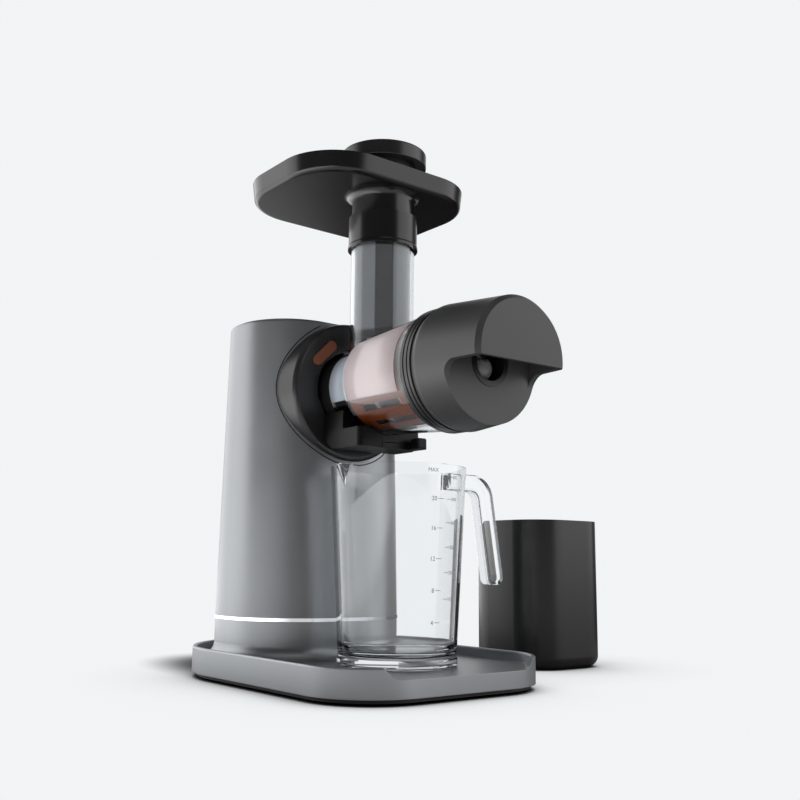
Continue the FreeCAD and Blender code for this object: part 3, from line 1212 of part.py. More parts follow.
def spout_block():
    low, front = DRIP_Z, v["tub_front"]
    shelf, top = low + v["tub_shelf"], low + v["tub_tall"]
    points = [(-v["tub_back"], 0, top), (-v["tub_step"], 0, top), (-v["tub_step"], 0, shelf),
              (front, 0, shelf), (front, 0, low), (-v["tub_back"], 0, low)]
    body = Part.Face(loop(points, [3, 0, 0, 0, 0, v["tub_round"]]))
    body.translate(Vector(0, -v["tub_half_wide"], 0))
    body = body.extrude(Vector(0, 2 * v["tub_half_wide"], 0))
    body = body.makeFillet(v["tub_edge"], [
        e for e in body.Edges if e.BoundBox.ZLength > v["tub_shelf"] - 1
        and e.BoundBox.XMin > front - 1e-3 and e.BoundBox.YLength < 1e-3])
    roof = low + v["drip_thick"] + v["seat_gap"]
    side = math.degrees(v["seat_gap"] / v["drip_reach"])
    pocket = wedge(v["drip_reach"] + v["seat_gap"], low - 1, roof, -v["drip_start"] - 3 * side,
                   v["drip_start"] + 3 * side + 95)
    room = wedge(v["drip_hub"] + v["seat_gap"], low - 1, roof, 0, 360)
    hole = Part.makeCylinder(v["outlet_radius"], 2 * v["tub_tall"],
                             Vector(v["outlet_x"], 0, low - 1))
    pin = wedge(v["drip_pin"] + v["face_gap"], low, low + v["drip_thick"] + v["pin_sink"],
                0, 360)
    return body.cut([pocket, room, hole, pin])


def drip_stop():
    low = DRIP_Z
    high = low + v["drip_thick"]
    plate = wedge(v["drip_reach"], low, high, -v["drip_start"], v["drip_start"])
    half = v["lever_half_wide"]
    arm = Part.makeBox(v["lever_start"] + 1 - v["drip_x"], 2 * half, high - low,
                       Vector(v["drip_x"], v["drip_y"] - half, low))
    plate = plate.cut(Part.makeBox(v["drip_reach"], 2 * v["drip_reach"], high,
                                   Vector(v["tub_front"], v["drip_y"] - 1.5 * v["drip_reach"],
                                          low - 1)))
    thumb = Part.makeBox(v["lever_end"] - v["lever_start"], 2 * half, v["lever_tall"],
                         Vector(v["lever_start"], v["drip_y"] - half, low))
    thumb = thumb.makeFillet(v["lever_round"], [e for e in thumb.Edges
                                                if e.BoundBox.XMin > v["lever_end"] - 1e-3
                                                or e.BoundBox.ZMin > low + 1])
    body = fused([plate, wedge(v["drip_hub"], low, high, 0, 360), arm, thumb])
    return body.cut(wedge(v["drip_pin"] + v["run_gap"], low - 1, high + 1, 0, 360))


spout_solid = made("spout_solid", spout_block())
keep("spout_block", less("spout_block", spout_solid, drum_seat))
keep("drip_pin", rod("drip_pin_rod", "drip_pin", "drip_thick + pin_sink - 2 * face_gap", "Z",
                     "drip_x", "drip_y", SPOUT_LOW + " + face_gap"))
keep("drip_stop", made("drip_stop", drip_stop()))

# Pulp cap: a tapered cup with a hood over the nozzle.
cap_outer = turned("cap_outer", "X", [
    ("cap_back", "0"), ("cap_back", "cap_back_radius"), ("cap_shoulder", "cap_radius"),
    ("hood_edge", "hood_radius"), ("hood_front", "hood_face_radius"), ("hood_front", "0")],
    [(("cap_shoulder", "cap_radius"), "4")], z="axis_height")
hood_low = v["axis_height"] - v["hood_cut"]
scoop_points = [(v["face_front"], 0, hood_low), (v["hood_front"] + 5, 0, hood_low),
                (v["hood_front"] + 5, 0, v["axis_height"] - 2 * v["cap_radius"]),
                (v["face_front"], 0, v["axis_height"] - 2 * v["cap_radius"])]
scoop_face = Part.Face(loop(scoop_points, [v["scoop_round"], 0, 0, 0]))
scoop_face.translate(Vector(0, -2 * v["cap_radius"], 0))
scoop = made("cap_scoop", scoop_face.extrude(Vector(0, 4 * v["cap_radius"], 0)))
hood_hollow = turned("hood_hollow", "X", [
    ("face_front", "0"), ("face_front", "hood_radius - cap_wall + 0.8"),
    ("hood_front - cap_wall", "hood_face_radius - cap_wall"),
    ("hood_front - cap_wall", "0")], z="axis_height")
cap_hollow = rod("cap_hollow", "spigot_radius - spigot_wall", "cap_cavity - cap_back + 1", "X",
                 "cap_back - 1", "0", "axis_height")
nozzle_hole = rod("nozzle_hole", "nozzle_radius + face_gap", "2 * (face_front - nozzle_back)",
                  "X", "nozzle_back", "0", "axis_height - nozzle_drop")
cap_cup = less("cap_cup", cap_outer, scoop, hood_hollow, cap_hollow, nozzle_hole)
cap_spigot = ring("cap_spigot", "X", "spigot_radius - spigot_wall", "spigot_radius",
                  "spigot_start", "cap_back + 1", z="axis_height")
keep("pulp_cap", joined("pulp_cap", cap_cup, cap_spigot))
keep("cap_seal", ring("cap_seal", "X", "spigot_radius - spigot_wall", "spigot_radius",
                      "drum_front + 2 * seat_gap", "spigot_start - face_gap", z="axis_height"))
keep("outlet_nozzle", ring("outlet_nozzle", "X", "nozzle_bore", "nozzle_radius", "nozzle_back",
                           "nozzle_front", z="axis_height - nozzle_drop"))


def spider():
    low, high = v["spider_start"], v["spider_start"] + v["spider_thick"]
    rim = v["spigot_radius"] - v["spigot_wall"] - v["face_gap"]
    hub = tube_x(v["auger_nose"] + v["run_gap"], v["spider_hub"], low, high, v["axis_height"])
    edge = tube_x(rim - 2, rim, low, high, v["axis_height"])
    arms = []
    for step in range(3):
        arm = Part.makeBox(high - low, rim - v["spider_hub"], v["spider_arm"],
                           Vector(low, v["spider_hub"] - 1, -v["spider_arm"] / 2))
        arm.rotate(Vector(), Vector(1, 0, 0), 30 + 120 * step)
        arm.translate(Vector(0, 0, v["axis_height"]))
        arms.append(arm)
    return fused([hub, edge] + arms)


keep("auger_spider", made("auger_spider", spider()))


# Hopper: a flat-bottomed dish on a round neck that continues the feed tube.
def hopper_tray():
    back, front = -v["hopper_back"], v["hopper_front"]
    half, bend, neck = v["hopper_half_width"], v["hopper_corner"], v["hopper_neck"]
    wall, lean = v["hopper_wall"], v["hopper_flare"]

    def section(height, inset, lean_share):
        grow = lean * lean_share - inset
        return outline(back - grow, front + grow, half + grow, bend + grow, bend + grow, height)

    low, under, floor = number(NECK_LOW), number(DISH_LOW), number(DISH_FLOOR)
    rim = under + v["hopper_tall"]
    dish = Part.makeLoft([section(under, 0, 0), section(rim, 0, 1)], True, True)
    dish = dish.makeFillet(v["hopper_foot_round"],
                           [e for e in dish.Edges if e.BoundBox.ZMax < under + 1e-3])
    stem = Part.makeCylinder(neck, floor - low, Vector(0, 0, low))
    body = fused([dish, stem])
    body = body.makeFillet(v["neck_round"], [
        e for e in body.Edges if isinstance(e.Curve, Part.Circle)
        and abs(e.Curve.Radius - neck) < 1e-3 and abs(e.BoundBox.ZMin - under) < 1e-3])
    room = Part.makeLoft([section(floor, wall, 0.2), section(rim + 1, wall, 1.1)], True, True)
    hole = Part.makeCylinder(v["throat_radius"], rim - low, Vector(0, 0, low - 1))
    return body.cut([room, hole])


keep("hopper_tray", made("hopper_tray", hopper_tray()))
keep("hopper_sleeve", turned("hopper_sleeve", "Z", [
    ("tube_radius + seat_gap", TUBE_TOP + " - sleeve_tall"),
    ("sleeve_radius + sleeve_bead", TUBE_TOP + " - sleeve_tall"),
    ("sleeve_radius + sleeve_bead", TUBE_TOP + " - sleeve_tall + sleeve_bead_tall"),
    ("sleeve_radius", TUBE_TOP + " - sleeve_tall + sleeve_bead_tall + 2 * sleeve_bead"),
    ("sleeve_radius", NECK_LOW + " - 2 * face_gap"),
    ("throat_radius", NECK_LOW + " - 2 * face_gap"),
    ("throat_radius", TUBE_TOP + " + seat_gap"),
    ("tube_radius + seat_gap", TUBE_TOP + " + seat_gap")]))

# Pusher: hollow plunger, flange that stops on the dish, and knob.
keep("pusher_body", turned("pusher_body", "Z", [
    ("0", PUSHER_LOW), ("pusher_radius", PUSHER_LOW),
    ("pusher_radius", DISH_FLOOR + " + face_gap"),
    ("pusher_flange", DISH_FLOOR + " + face_gap"),
    ("pusher_flange", DISH_FLOOR + " + face_gap + pusher_wall"),
    ("pusher_stem", DISH_FLOOR + " + face_gap + pusher_wall"),
    ("pusher_stem", KNOB_LOW + " - knob_step"),
    ("pusher_stem - pusher_wall", KNOB_LOW + " - knob_step"),
    ("pusher_stem - pusher_wall", PUSHER_LOW + " + pusher_wall"),
    ("0", PUSHER_LOW + " + pusher_wall")],
    [(("pusher_radius", PUSHER_LOW), "2")]))
keep("pusher_knob", turned("pusher_knob", "Z", [
    ("0", KNOB_LOW + " - knob_step + face_gap"),
    ("knob_neck", KNOB_LOW + " - knob_step + face_gap"),
    ("knob_neck", KNOB_LOW), ("knob_radius", KNOB_LOW),
    ("knob_radius", KNOB_LOW + " + knob_tall"), ("0", KNOB_LOW + " + knob_tall")],
    [(("knob_radius", KNOB_LOW + " + knob_tall"), "knob_round"),
     (("knob_radius", KNOB_LOW), "0.8")]))

# Jug: tapered cup on a foot ring, poured at -Y, held at +Y by a hooked handle.
JUG_LOW = "tray_floor + seat_gap"
JUG_TOP = "tray_floor + seat_gap + jug_tall"
jug_outer = turned("jug_outer", "Z", [
    ("0", JUG_LOW + " + 1.6"), ("jug_foot_radius - 6", JUG_LOW + " + 1.6"),
    ("jug_foot_radius - 5", JUG_LOW), ("jug_foot_radius - 1", JUG_LOW),
    ("jug_foot_radius", JUG_LOW + " + 1"), ("jug_foot_radius", JUG_LOW + " + jug_foot_tall"),
    ("jug_low_radius", JUG_LOW + " + jug_foot_tall + 1"), ("jug_rim_radius", JUG_TOP),
    ("0", JUG_TOP)], x="jug_x")
jug_cavity = turned("jug_cavity", "Z", [
    ("0", JUG_LOW + " + jug_base_thick"),
    ("jug_low_radius - jug_wall", JUG_LOW + " + jug_base_thick"),
    ("jug_rim_radius - jug_wall", JUG_TOP), ("jug_rim_radius - jug_wall", JUG_TOP + " + 1"),
    ("0", JUG_TOP + " + 1")],
    [(("jug_low_radius - jug_wall", JUG_LOW + " + jug_base_thick"),
      "jug_inner_round")], x="jug_x")


def spout_cone(name, shrink, extra):
    cone = doc.addObject("Part::Cone", name)
    bind(cone, "Radius1", "0.6")
    bind(cone, "Radius2", "jug_spout_radius - %s" % shrink)
    bind(cone, "Height", "jug_spout_tall + %s" % extra)
    return place(cone, "jug_x", "-jug_spout_place", JUG_TOP + " - jug_spout_tall")


def handle():
    v_low = number(JUG_LOW)
    top = v_low + v["jug_tall"] - 0.5
    reach, thick, lean = v["handle_reach"], v["handle_thick"], v["handle_lean"]
    start, under = v["jug_rim_radius"] - v["jug_wall"] / 2, top - v["handle_top"]
    half = v["handle_wide"] / 2
    points = [(0, start, top), (0, reach, top), (0, reach + lean, v["handle_bottom"]),
              (0, reach + lean - thick, v["handle_bottom"]), (0, reach - thick + 2, under),
              (0, start, under)]
    wire = loop(points, [0, v["handle_bend"], v["handle_end"], v["handle_end"],
                         v["handle_inner_bend"], 0])
    shape = Part.Face(wire).extrude(Vector(2 * half, 0, 0))
    shape.translate(Vector(v["jug_x"] - half, 0, 0))
    edges = [e for e in shape.Edges if e.BoundBox.XLength < 1e-3
             and e.BoundBox.YMax > start + 1]
    return shape.makeFillet(v["handle_round"], edges)


jug_cup = joined("jug_cup", jug_outer, spout_cone("jug_spout_outer", "0", "0"),
                 made("jug_handle", handle()))
keep("measuring_jug", less("measuring_jug", jug_cup, jug_cavity,
                           spout_cone("jug_spout_inner", "jug_spout_wall", "1")))


# Waste bin: a rounded square bucket that stands beside the juicer.
def waste_bin():
    x, half, bend = v["bin_x"], v["bin_half"], v["bin_corner"]
    wall = v["bin_wall"]
    body = raised(outline(x - half, x + half, half, bend, bend, 0, v["bin_y"]), 0, v["bin_tall"])
    body = body.makeFillet(v["bin_round"], [e for e in body.Edges if e.BoundBox.ZMax < 1e-3])
    room = raised(outline(x - half + wall, x + half - wall, half - wall, bend - wall,
                          bend - wall, 0, v["bin_y"]), wall, v["bin_tall"] + 1)
    room = room.makeFillet(v["bin_round"] - wall,
                           [e for e in room.Edges if e.BoundBox.ZMax < wall + 1e-3])
    return body.cut(room)


keep("waste_bin", made("waste_bin", waste_bin()))

# Checks, then one file for each piece.
doc.recompute()
faults = []
for thing in doc.Objects:
    if set(thing.State) & {"Invalid", "Error"}:
        faults.append("%s is %s" % (thing.Name, thing.State))
for label, thing in pieces.items():
    shape = thing.Shape
    if shape.isNull() or not shape.isValid() or not shape.Solids:
        faults.append("%s has no valid solid" % label)
if faults:
    raise RuntimeError("; ".join(faults))
os.makedirs("parts", exist_ok=True)
for label, thing in pieces.items():
    thing.Shape.exportStep(os.path.join("parts", label + ".step"))
    box = thing.Shape.BoundBox
    print("%-18s solids %d volume %10.1f  x %7.2f %7.2f  y %7.2f %7.2f  z %7.2f %7.2f" % (
        label, len(thing.Shape.Solids), thing.Shape.Volume, box.XMin, box.XMax, box.YMin,
        box.YMax, box.ZMin, box.ZMax))
print(len(pieces), "pieces")
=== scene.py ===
import math
import bmesh
import bpy
from mathutils import Matrix, Vector
from mathutils.bvhtree import BVHTree


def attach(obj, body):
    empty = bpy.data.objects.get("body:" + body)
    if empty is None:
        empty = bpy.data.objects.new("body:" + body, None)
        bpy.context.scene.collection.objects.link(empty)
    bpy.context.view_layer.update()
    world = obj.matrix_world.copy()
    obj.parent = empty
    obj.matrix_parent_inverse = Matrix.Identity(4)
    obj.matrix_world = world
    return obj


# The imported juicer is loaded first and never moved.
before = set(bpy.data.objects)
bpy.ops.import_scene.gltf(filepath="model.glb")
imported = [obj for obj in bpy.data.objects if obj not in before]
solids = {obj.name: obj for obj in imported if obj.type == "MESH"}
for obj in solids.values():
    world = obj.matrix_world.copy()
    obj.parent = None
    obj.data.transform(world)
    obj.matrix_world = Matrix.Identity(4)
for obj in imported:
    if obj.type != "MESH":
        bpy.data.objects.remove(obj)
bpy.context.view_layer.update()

# The camera stands low beside the pulp cap, a little above the table and slightly
# rolled. Its lens and its place were fitted to the juicer's outlines.
CAMERA_PLACE = Vector((0.544163, -0.476577, 0.078907))
CAMERA_RIGHT = Vector((0.621357, 0.783477, 0.008873))
CAMERA_UP = Vector((0.125580, -0.110760, 0.985881))
CAMERA_AHEAD = Vector((-0.773398, 0.611470, 0.167211))
SENSOR_WIDTH, FOCAL_LENGTH = 36, 43.762

lens = bpy.data.cameras.new("photo_camera")
lens.sensor_width = SENSOR_WIDTH
lens.lens = FOCAL_LENGTH
lens.clip_start = 0.01
camera = bpy.data.objects.new("photo_camera", lens)
bpy.context.scene.collection.objects.link(camera)
turned = Matrix((CAMERA_RIGHT, CAMERA_UP, -CAMERA_AHEAD)).transposed().to_4x4()
camera.matrix_world = Matrix.Translation(CAMERA_PLACE) @ turned
bpy.context.scene.camera = camera
bpy.context.scene.view_settings.view_transform = "Standard"
bpy.context.scene.view_settings.look = "None"

# The studio: a white paper sweep with a broad soft panel at the left, another at the
# right, a weaker one behind and a small one above the front. The rest of the room is
# dim, which keeps glossy black parts black.
PAPER = (0.885, 0.905, 0.915, 1)
TO_FRONT = Vector((0.784, -0.620, 0.0))
TO_RIGHT = Vector((0.620, 0.784, 0.0))
ROOM_LIGHT = 0.10
# Each panel: sideways from, to, height from, to and edge softness in degrees, strength.
PANELS = (
    (-150, -78, -40, 36, 5, 2.3),
    (52, 118, -40, 42, 7, 2.0),
    (150, 200, -20, 60, 16, 0.9),
    (-200, -150, -20, 60, 16, 0.9),
    (-60, 60, 55, 80, 12, 0.55),
)


def math_node(tree, operation, *values):
    """A sum on sockets or plain numbers."""
    node = tree.nodes.new("ShaderNodeMath")
    node.operation = operation
    for socket, value in zip(node.inputs, values):
        if isinstance(value, (int, float)):
            socket.default_value = value
        else:
            tree.links.new(value, socket)
    return node.outputs["Value"]


def ramp(tree, value, start, end, low=0.0, high=1.0):
    """A smooth step from low to high while the value goes from start to end."""
    node = tree.nodes.new("ShaderNodeMapRange")
    node.interpolation_type = "SMOOTHSTEP"
    tree.links.new(value, node.inputs["Value"])
    node.inputs["From Min"].default_value = start
    node.inputs["From Max"].default_value = end
    node.inputs["To Min"].default_value = low
    node.inputs["To Max"].default_value = high
    return node.outputs["Result"]


def distance_along(tree, vector, direction):
    node = tree.nodes.new("ShaderNodeVectorMath")
    node.operation = "DOT_PRODUCT"
    tree.links.new(vector, node.inputs[0])
    node.inputs[1].default_value = direction
    return node.outputs["Value"]


def panel_edges(tree, angle, low, high, soft):
    """1 between two angles in degrees and 0 outside them, with soft edges."""
    rising = ramp(tree, angle, math.radians(low - soft), math.radians(low + soft))
    falling = ramp(tree, angle, math.radians(high - soft), math.radians(high + soft), 1.0, 0.0)
    return math_node(tree, "MULTIPLY", rising, falling)


def light_or_paper(tree, light, paper):
    """Plain paper where it is looked at, also through clear plastic, and light elsewhere."""
    path = tree.nodes.new("ShaderNodeLightPath")
    looked_at = math_node(tree, "MAXIMUM", path.outputs["Is Camera Ray"],
                          path.outputs["Is Transmission Ray"])
    mix = tree.nodes.new("ShaderNodeMixShader")
    tree.links.new(looked_at, mix.inputs["Fac"])
    tree.links.new(light.outputs[0], mix.inputs[1])
    tree.links.new(paper.outputs[0], mix.inputs[2])
    return mix.outputs["Shader"]


def studio_sky():
    world = bpy.data.worlds.new("studio_sky")
    bpy.context.scene.world = world
    world.use_nodes = True
    tree = world.node_tree
    tree.nodes.clear()
    way = tree.nodes.new("ShaderNodeTexCoord").outputs["Generated"]
    sideways = math_node(tree, "ARCTAN2", distance_along(tree, way, TO_RIGHT),
                         distance_along(tree, way, TO_FRONT))
    rise = math_node(tree, "ARCSINE", distance_along(tree, way, (0, 0, 1)))
    total = ROOM_LIGHT
    for left, right, low, high, soft, strength in PANELS:
        across = panel_edges(tree, sideways, left, right, soft)
        upright = panel_edges(tree, rise, low, high, soft)
        shape = math_node(tree, "MULTIPLY", across, upright)
        total = math_node(tree, "ADD", math_node(tree, "MULTIPLY", shape, strength), total)
    panels = tree.nodes.new("ShaderNodeBackground")
    tree.links.new(total, panels.inputs["Strength"])
    paper = tree.nodes.new("ShaderNodeBackground")
    paper.inputs["Color"].default_value = PAPER
    out = tree.nodes.new("ShaderNodeOutputWorld")
    tree.links.new(light_or_paper(tree, panels, paper), out.inputs["Surface"])


# The paper on the table glows like the lit studio: brightest far to the left and in
# front. Contact shadows gather under each piece, and a soft shadow lies behind the tray.
FLOOR_REACH = 6.0
CONTACT_REACH = 0.10
CONTACT_DARK, CONTACT_CLEAR = 0.15, 1.0
REAR_SHADOW = (-0.130, -0.112, 0)
REAR_SHADOW_SQUEEZE = (1.0, 1.6, 1.0)
REAR_SHADOW_CORE, REAR_SHADOW_EDGE, REAR_SHADOW_TONE = 0.080, 0.150, 0.12
FLOOR_LEAST = 0.03
# Each glow: direction over the floor, start and end of its rise in metres, strength.
FLOOR_GLOWS = (
    (TO_FRONT, 0.10, 0.30, 0.70),
    (TO_FRONT, -0.45, -0.10, 0.20),
    (TO_RIGHT, -0.10, -0.28, 0.40),
    (TO_RIGHT, -0.30, -0.62, 2.0),
)


def rear_shadow(tree, spot):
    squeezed = tree.nodes.new("ShaderNodeVectorMath")
    squeezed.operation = "MULTIPLY"
    tree.links.new(spot, squeezed.inputs[0])
    squeezed.inputs[1].default_value = REAR_SHADOW_SQUEEZE
    apart = tree.nodes.new("ShaderNodeVectorMath")
    apart.operation = "DISTANCE"
    tree.links.new(squeezed.outputs["Vector"], apart.inputs[0])
    apart.inputs[1].default_value = REAR_SHADOW
    return ramp(tree, apart.outputs["Value"], REAR_SHADOW_CORE, REAR_SHADOW_EDGE,
                REAR_SHADOW_TONE, 1.0)


def floor_paper():
    material = bpy.data.materials.new("floor_paper")
    material.use_nodes = True
    tree = material.node_tree
    tree.nodes.clear()
    spot = tree.nodes.new("ShaderNodeTexCoord").outputs["Object"]
    contact = tree.nodes.new("ShaderNodeAmbientOcclusion")
    contact.samples = 8
    contact.inputs["Distance"].default_value = CONTACT_REACH
    open_sky = ramp(tree, contact.outputs["AO"], CONTACT_DARK, CONTACT_CLEAR)
    shade = math_node(tree, "MULTIPLY", open_sky, rear_shadow(tree, spot))
    lit = FLOOR_LEAST
    for direction, start, end, strength in FLOOR_GLOWS:
        glow = ramp(tree, distance_along(tree, spot, direction), start, end, 0.0, strength)
        lit = math_node(tree, "ADD", lit, glow)
    bounce = tree.nodes.new("ShaderNodeEmission")
    tree.links.new(math_node(tree, "MULTIPLY", lit, shade), bounce.inputs["Strength"])
    paper = tree.nodes.new("ShaderNodeEmission")
    paper.inputs["Color"].default_value = PAPER
    tree.links.new(shade, paper.inputs["Strength"])
    out = tree.nodes.new("ShaderNodeOutputMaterial")
    tree.links.new(light_or_paper(tree, bounce, paper), out.inputs["Surface"])
    return material


def studio_floor():
    corners = [(x * FLOOR_REACH, y * FLOOR_REACH, 0)
               for x, y in ((-1, -1), (1, -1), (1, 1), (-1, 1))]
    mesh = bpy.data.meshes.new("studio_floor")
    mesh.from_pydata(corners, [], [(0, 1, 2, 3)])
    mesh.materials.append(floor_paper())
    floor = bpy.data.objects.new("studio_floor", mesh)
    bpy.context.scene.collection.objects.link(floor)


studio_sky()
studio_floor()

# Base tray: one moulding with a raised rim that dips in front of the jug. It is sprayed
# satin grey, so its tone and sheen drift a little, the paint has a fine grain, and its
# edges are softly broken.
CLOUD_SCALE, CLOUD_DETAIL = 28.0, 3.0
GRAIN_SCALE, GRAIN_DETAIL, GRAIN_DEPTH = 900.0, 2.0, 0.0001
SHEEN_DRIFT = 0.03
EDGE_SAMPLES = 4
SOCKETS = {"metallic": "Metallic", "specular": "Specular IOR Level",
           "transmission": "Transmission Weight", "ior": "IOR"}


def surface_normal(tree, place, grain, grain_scale, edge):
    """Softly broken edges and a fine grain, or nothing where a finish has neither."""
    normal = None
    if edge > 0:
        broken = tree.nodes.new("ShaderNodeBevel")
        broken.samples = EDGE_SAMPLES
        broken.inputs["Radius"].default_value = edge
        normal = broken.outputs["Normal"]
    if grain > 0:
        fine = tree.nodes.new("ShaderNodeTexNoise")
        fine.inputs["Scale"].default_value = grain_scale
        fine.inputs["Detail"].default_value = GRAIN_DETAIL
        tree.links.new(place, fine.inputs["Vector"])
        bump = tree.nodes.new("ShaderNodeBump")
        bump.inputs["Strength"].default_value = grain
        bump.inputs["Distance"].default_value = GRAIN_DEPTH
        tree.links.new(fine.outputs["Fac"], bump.inputs["Height"])
        if normal is not None:
            tree.links.new(normal, bump.inputs["Normal"])
        normal = bump.outputs["Normal"]
    return normal


def finish(name, colour, roughness, grain=0.0, grain_scale=GRAIN_SCALE, drift=0.06,
           edge=0.0, **more):
    """A moulded, painted or turned finish, whose tone and sheen drift over the surface."""
    material = bpy.data.materials.new(name)
    material.use_nodes = True
    tree = material.node_tree
    shader = tree.nodes["Principled BSDF"]
    place = tree.nodes.new("ShaderNodeTexCoord").outputs["Object"]
    cloud = tree.nodes.new("ShaderNodeTexNoise")
    cloud.inputs["Scale"].default_value = CLOUD_SCALE
    cloud.inputs["Detail"].default_value = CLOUD_DETAIL
    tree.links.new(place, cloud.inputs["Vector"])
    tone = tree.nodes.new("ShaderNodeMix")
    tone.data_type = "RGBA"
    tone.inputs["A"].default_value = [part * (1 - drift) for part in colour] + [1]
    tone.inputs["B"].default_value = [min(1, part * (1 + drift)) for part in colour] + [1]
    tree.links.new(cloud.outputs["Fac"], tone.inputs["Factor"])
    tree.links.new(tone.outputs["Result"], shader.inputs["Base Color"])
    sheen = tree.nodes.new("ShaderNodeMapRange")
    sheen.inputs["To Min"].default_value = max(0.0, roughness - SHEEN_DRIFT)
    sheen.inputs["To Max"].default_value = min(1.0, roughness + SHEEN_DRIFT)
    tree.links.new(cloud.outputs["Fac"], sheen.inputs["Value"])
    tree.links.new(sheen.outputs["Result"], shader.inputs["Roughness"])
    normal = surface_normal(tree, place, grain, grain_scale, edge)
    if normal is not None:
        tree.links.new(normal, shader.inputs["Normal"])
    for word, value in more.items():
        shader.inputs[SOCKETS[word]].default_value = value
    return material


def wear(material, *names):
    """Gives the solids of these names one finish."""
    for name in names:
        solids[name].data.materials.clear()
        solids[name].data.materials.append(material)


wear(finish("tray_satin", (0.36, 0.375, 0.39), 0.40, 0.05, edge=0.0006, metallic=0.85),
     "base_tray")

# Underplate, feet and screws: a black plastic plate closes the tray from below and
# stands on four moulded rubber feet. Zinc-plated screws hold it and the tower, and the
# small pins, bolt and spring of the mechanism are plated alike.
wear(finish("underplate_black", (0.012, 0.012, 0.012), 0.55, 0.1), "base_underplate")
wear(finish("foot_rubber", (0.015, 0.015, 0.015), 0.8, 0.2), "rubber_feet")
wear(finish("screw_zinc", (0.45, 0.46, 0.47), 0.35, 0.02, metallic=1.0),
     "underplate_screws", "tower_screws", "idler_pin", "latch_bolt", "latch_spring",
     "drip_pin")

# Motor tower: a tall plastic cover over the gear case, sprayed like the tray. It stands
# on a bright plated ring, which is clamped between it and the tray's skirt.
wear(finish("tower_satin", (0.265, 0.275, 0.287), 0.37, 0.05, metallic=0.85), "tower_shell")
wear(finish("ring_chrome", (0.75, 0.76, 0.78), 0.16, metallic=1.0), "accent_ring")

# Collar: a gloss black plastic cone fixed in the tower's face, round the dark steel
# bayonet ring that takes the juicing head. The seals in its recess, those of the head
# and cap, and the cable gland are moulded rubber.
wear(finish("collar_gloss", (0.018, 0.018, 0.019), 0.30, 0.02), "nose_collar")
wear(finish("socket_steel", (0.10, 0.10, 0.10), 0.4, 0.02, metallic=1.0), "bayonet_socket")
wear(finish("seal_rubber", (0.012, 0.012, 0.012), 0.7, 0.1), "socket_seal", "shaft_seal",
     "drum_seal", "cap_seal", "cable_gland")

# Release button: a small copper-coloured plastic key that slides in the collar beside
# the recess and draws the latch bolt back.
wear(finish("button_copper", (0.30, 0.105, 0.055), 0.32, 0.05, edge=0.0006, metallic=0.4),
     "release_button")

# Shadow line round the collar: a thin near-black bead of painted shade, laid in its joint
# with the tower along the tower's curved face and left open at the top. Its places count from
# the auger's axis, which runs along X.
MM = 0.001
TUBE_X, TUBE_Y = 11.85 * MM, -72.75 * MM
AXIS_Z = 201.8 * MM
SEAM_CIRCLE, SEAM_RADIUS, SEAM_SIDES = 52.9 * MM, 0.45 * MM, 8
SEAM_START, SEAM_SWEEP, SEAM_STEPS = 118, 304, 240
BEFORE_TOWER = 0.2


def piece(name, mesh, body, material=None):
    """A finished mesh as a piece of the juicer that moves with one body."""
    if material is not None:
        mesh.materials.append(material)
    thing = bpy.data.objects.new(name, mesh)
    bpy.context.scene.collection.objects.link(thing)
    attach(thing, body)


def geometry_tree(name, **inputs):
    """A new geometry tree with named inputs, and the sockets that give their values."""
    tree = bpy.data.node_groups.new(name, "GeometryNodeTree")
    sockets = tree.interface
    sockets.new_socket("Geometry", in_out="INPUT", socket_type="NodeSocketGeometry")
    for word, kind in inputs.items():
        sockets.new_socket(word, in_out="INPUT", socket_type="NodeSocket" + kind)
    sockets.new_socket("Geometry", in_out="OUTPUT", socket_type="NodeSocketGeometry")
    return tree, tree.nodes.new("NodeGroupInput").outputs


def tree_end(tree, geometry, material):
    """Makes instances real, sets the finish and gives the result out."""
    real = tree.nodes.new("GeometryNodeRealizeInstances")
    coated = tree.nodes.new("GeometryNodeSetMaterial")
    out = tree.nodes.new("NodeGroupOutput")
    tree.links.new(geometry, real.inputs["Geometry"])
    tree.links.new(real.outputs["Geometry"], coated.inputs["Geometry"])
    tree.links.new(material, coated.inputs["Material"])
    tree.links.new(coated.outputs["Geometry"], out.inputs["Geometry"])


def grown(name, seed, tree, **values):
    """The plain mesh that a geometry tree makes of a seed mesh."""
    holder = bpy.data.objects.new(name, seed)
    modifier = holder.modifiers.new(name, "NODES")
    modifier.node_group = tree
    for socket in tree.interface.items_tree:
        if socket.in_out == "INPUT" and socket.name in values:
            modifier[socket.identifier] = values[socket.name]
    bpy.context.scene.collection.objects.link(holder)
    view = bpy.context.evaluated_depsgraph_get()
    mesh = bpy.data.meshes.new_from_object(holder.evaluated_get(view), depsgraph=view)
    bpy.data.objects.remove(holder)
    bpy.data.meshes.remove(seed)
    mesh.name = name
    return mesh


def bead_tree():
    """Turns a line of edges into a closed round bead."""
    tree, given = geometry_tree("collar_bead", radius="Float", sides="Int",
                                rubber="Material")
    line = tree.nodes.new("GeometryNodeMeshToCurve")
    ring = tree.nodes.new("GeometryNodeCurvePrimitiveCircle")
    swept = tree.nodes.new("GeometryNodeCurveToMesh")
    smooth = tree.nodes.new("GeometryNodeSetShadeSmooth")
    tree.links.new(given["Geometry"], line.inputs["Mesh"])
    tree.links.new(given["radius"], ring.inputs["Radius"])
    tree.links.new(given["sides"], ring.inputs["Resolution"])
    tree.links.new(line.outputs["Curve"], swept.inputs["Curve"])
    tree.links.new(ring.outputs["Curve"], swept.inputs["Profile Curve"])
    swept.inputs["Fill Caps"].default_value = True
    tree.links.new(swept.outputs["Mesh"], smooth.inputs["Geometry"])
    tree_end(tree, smooth.outputs["Geometry"], given["rubber"])
    return tree


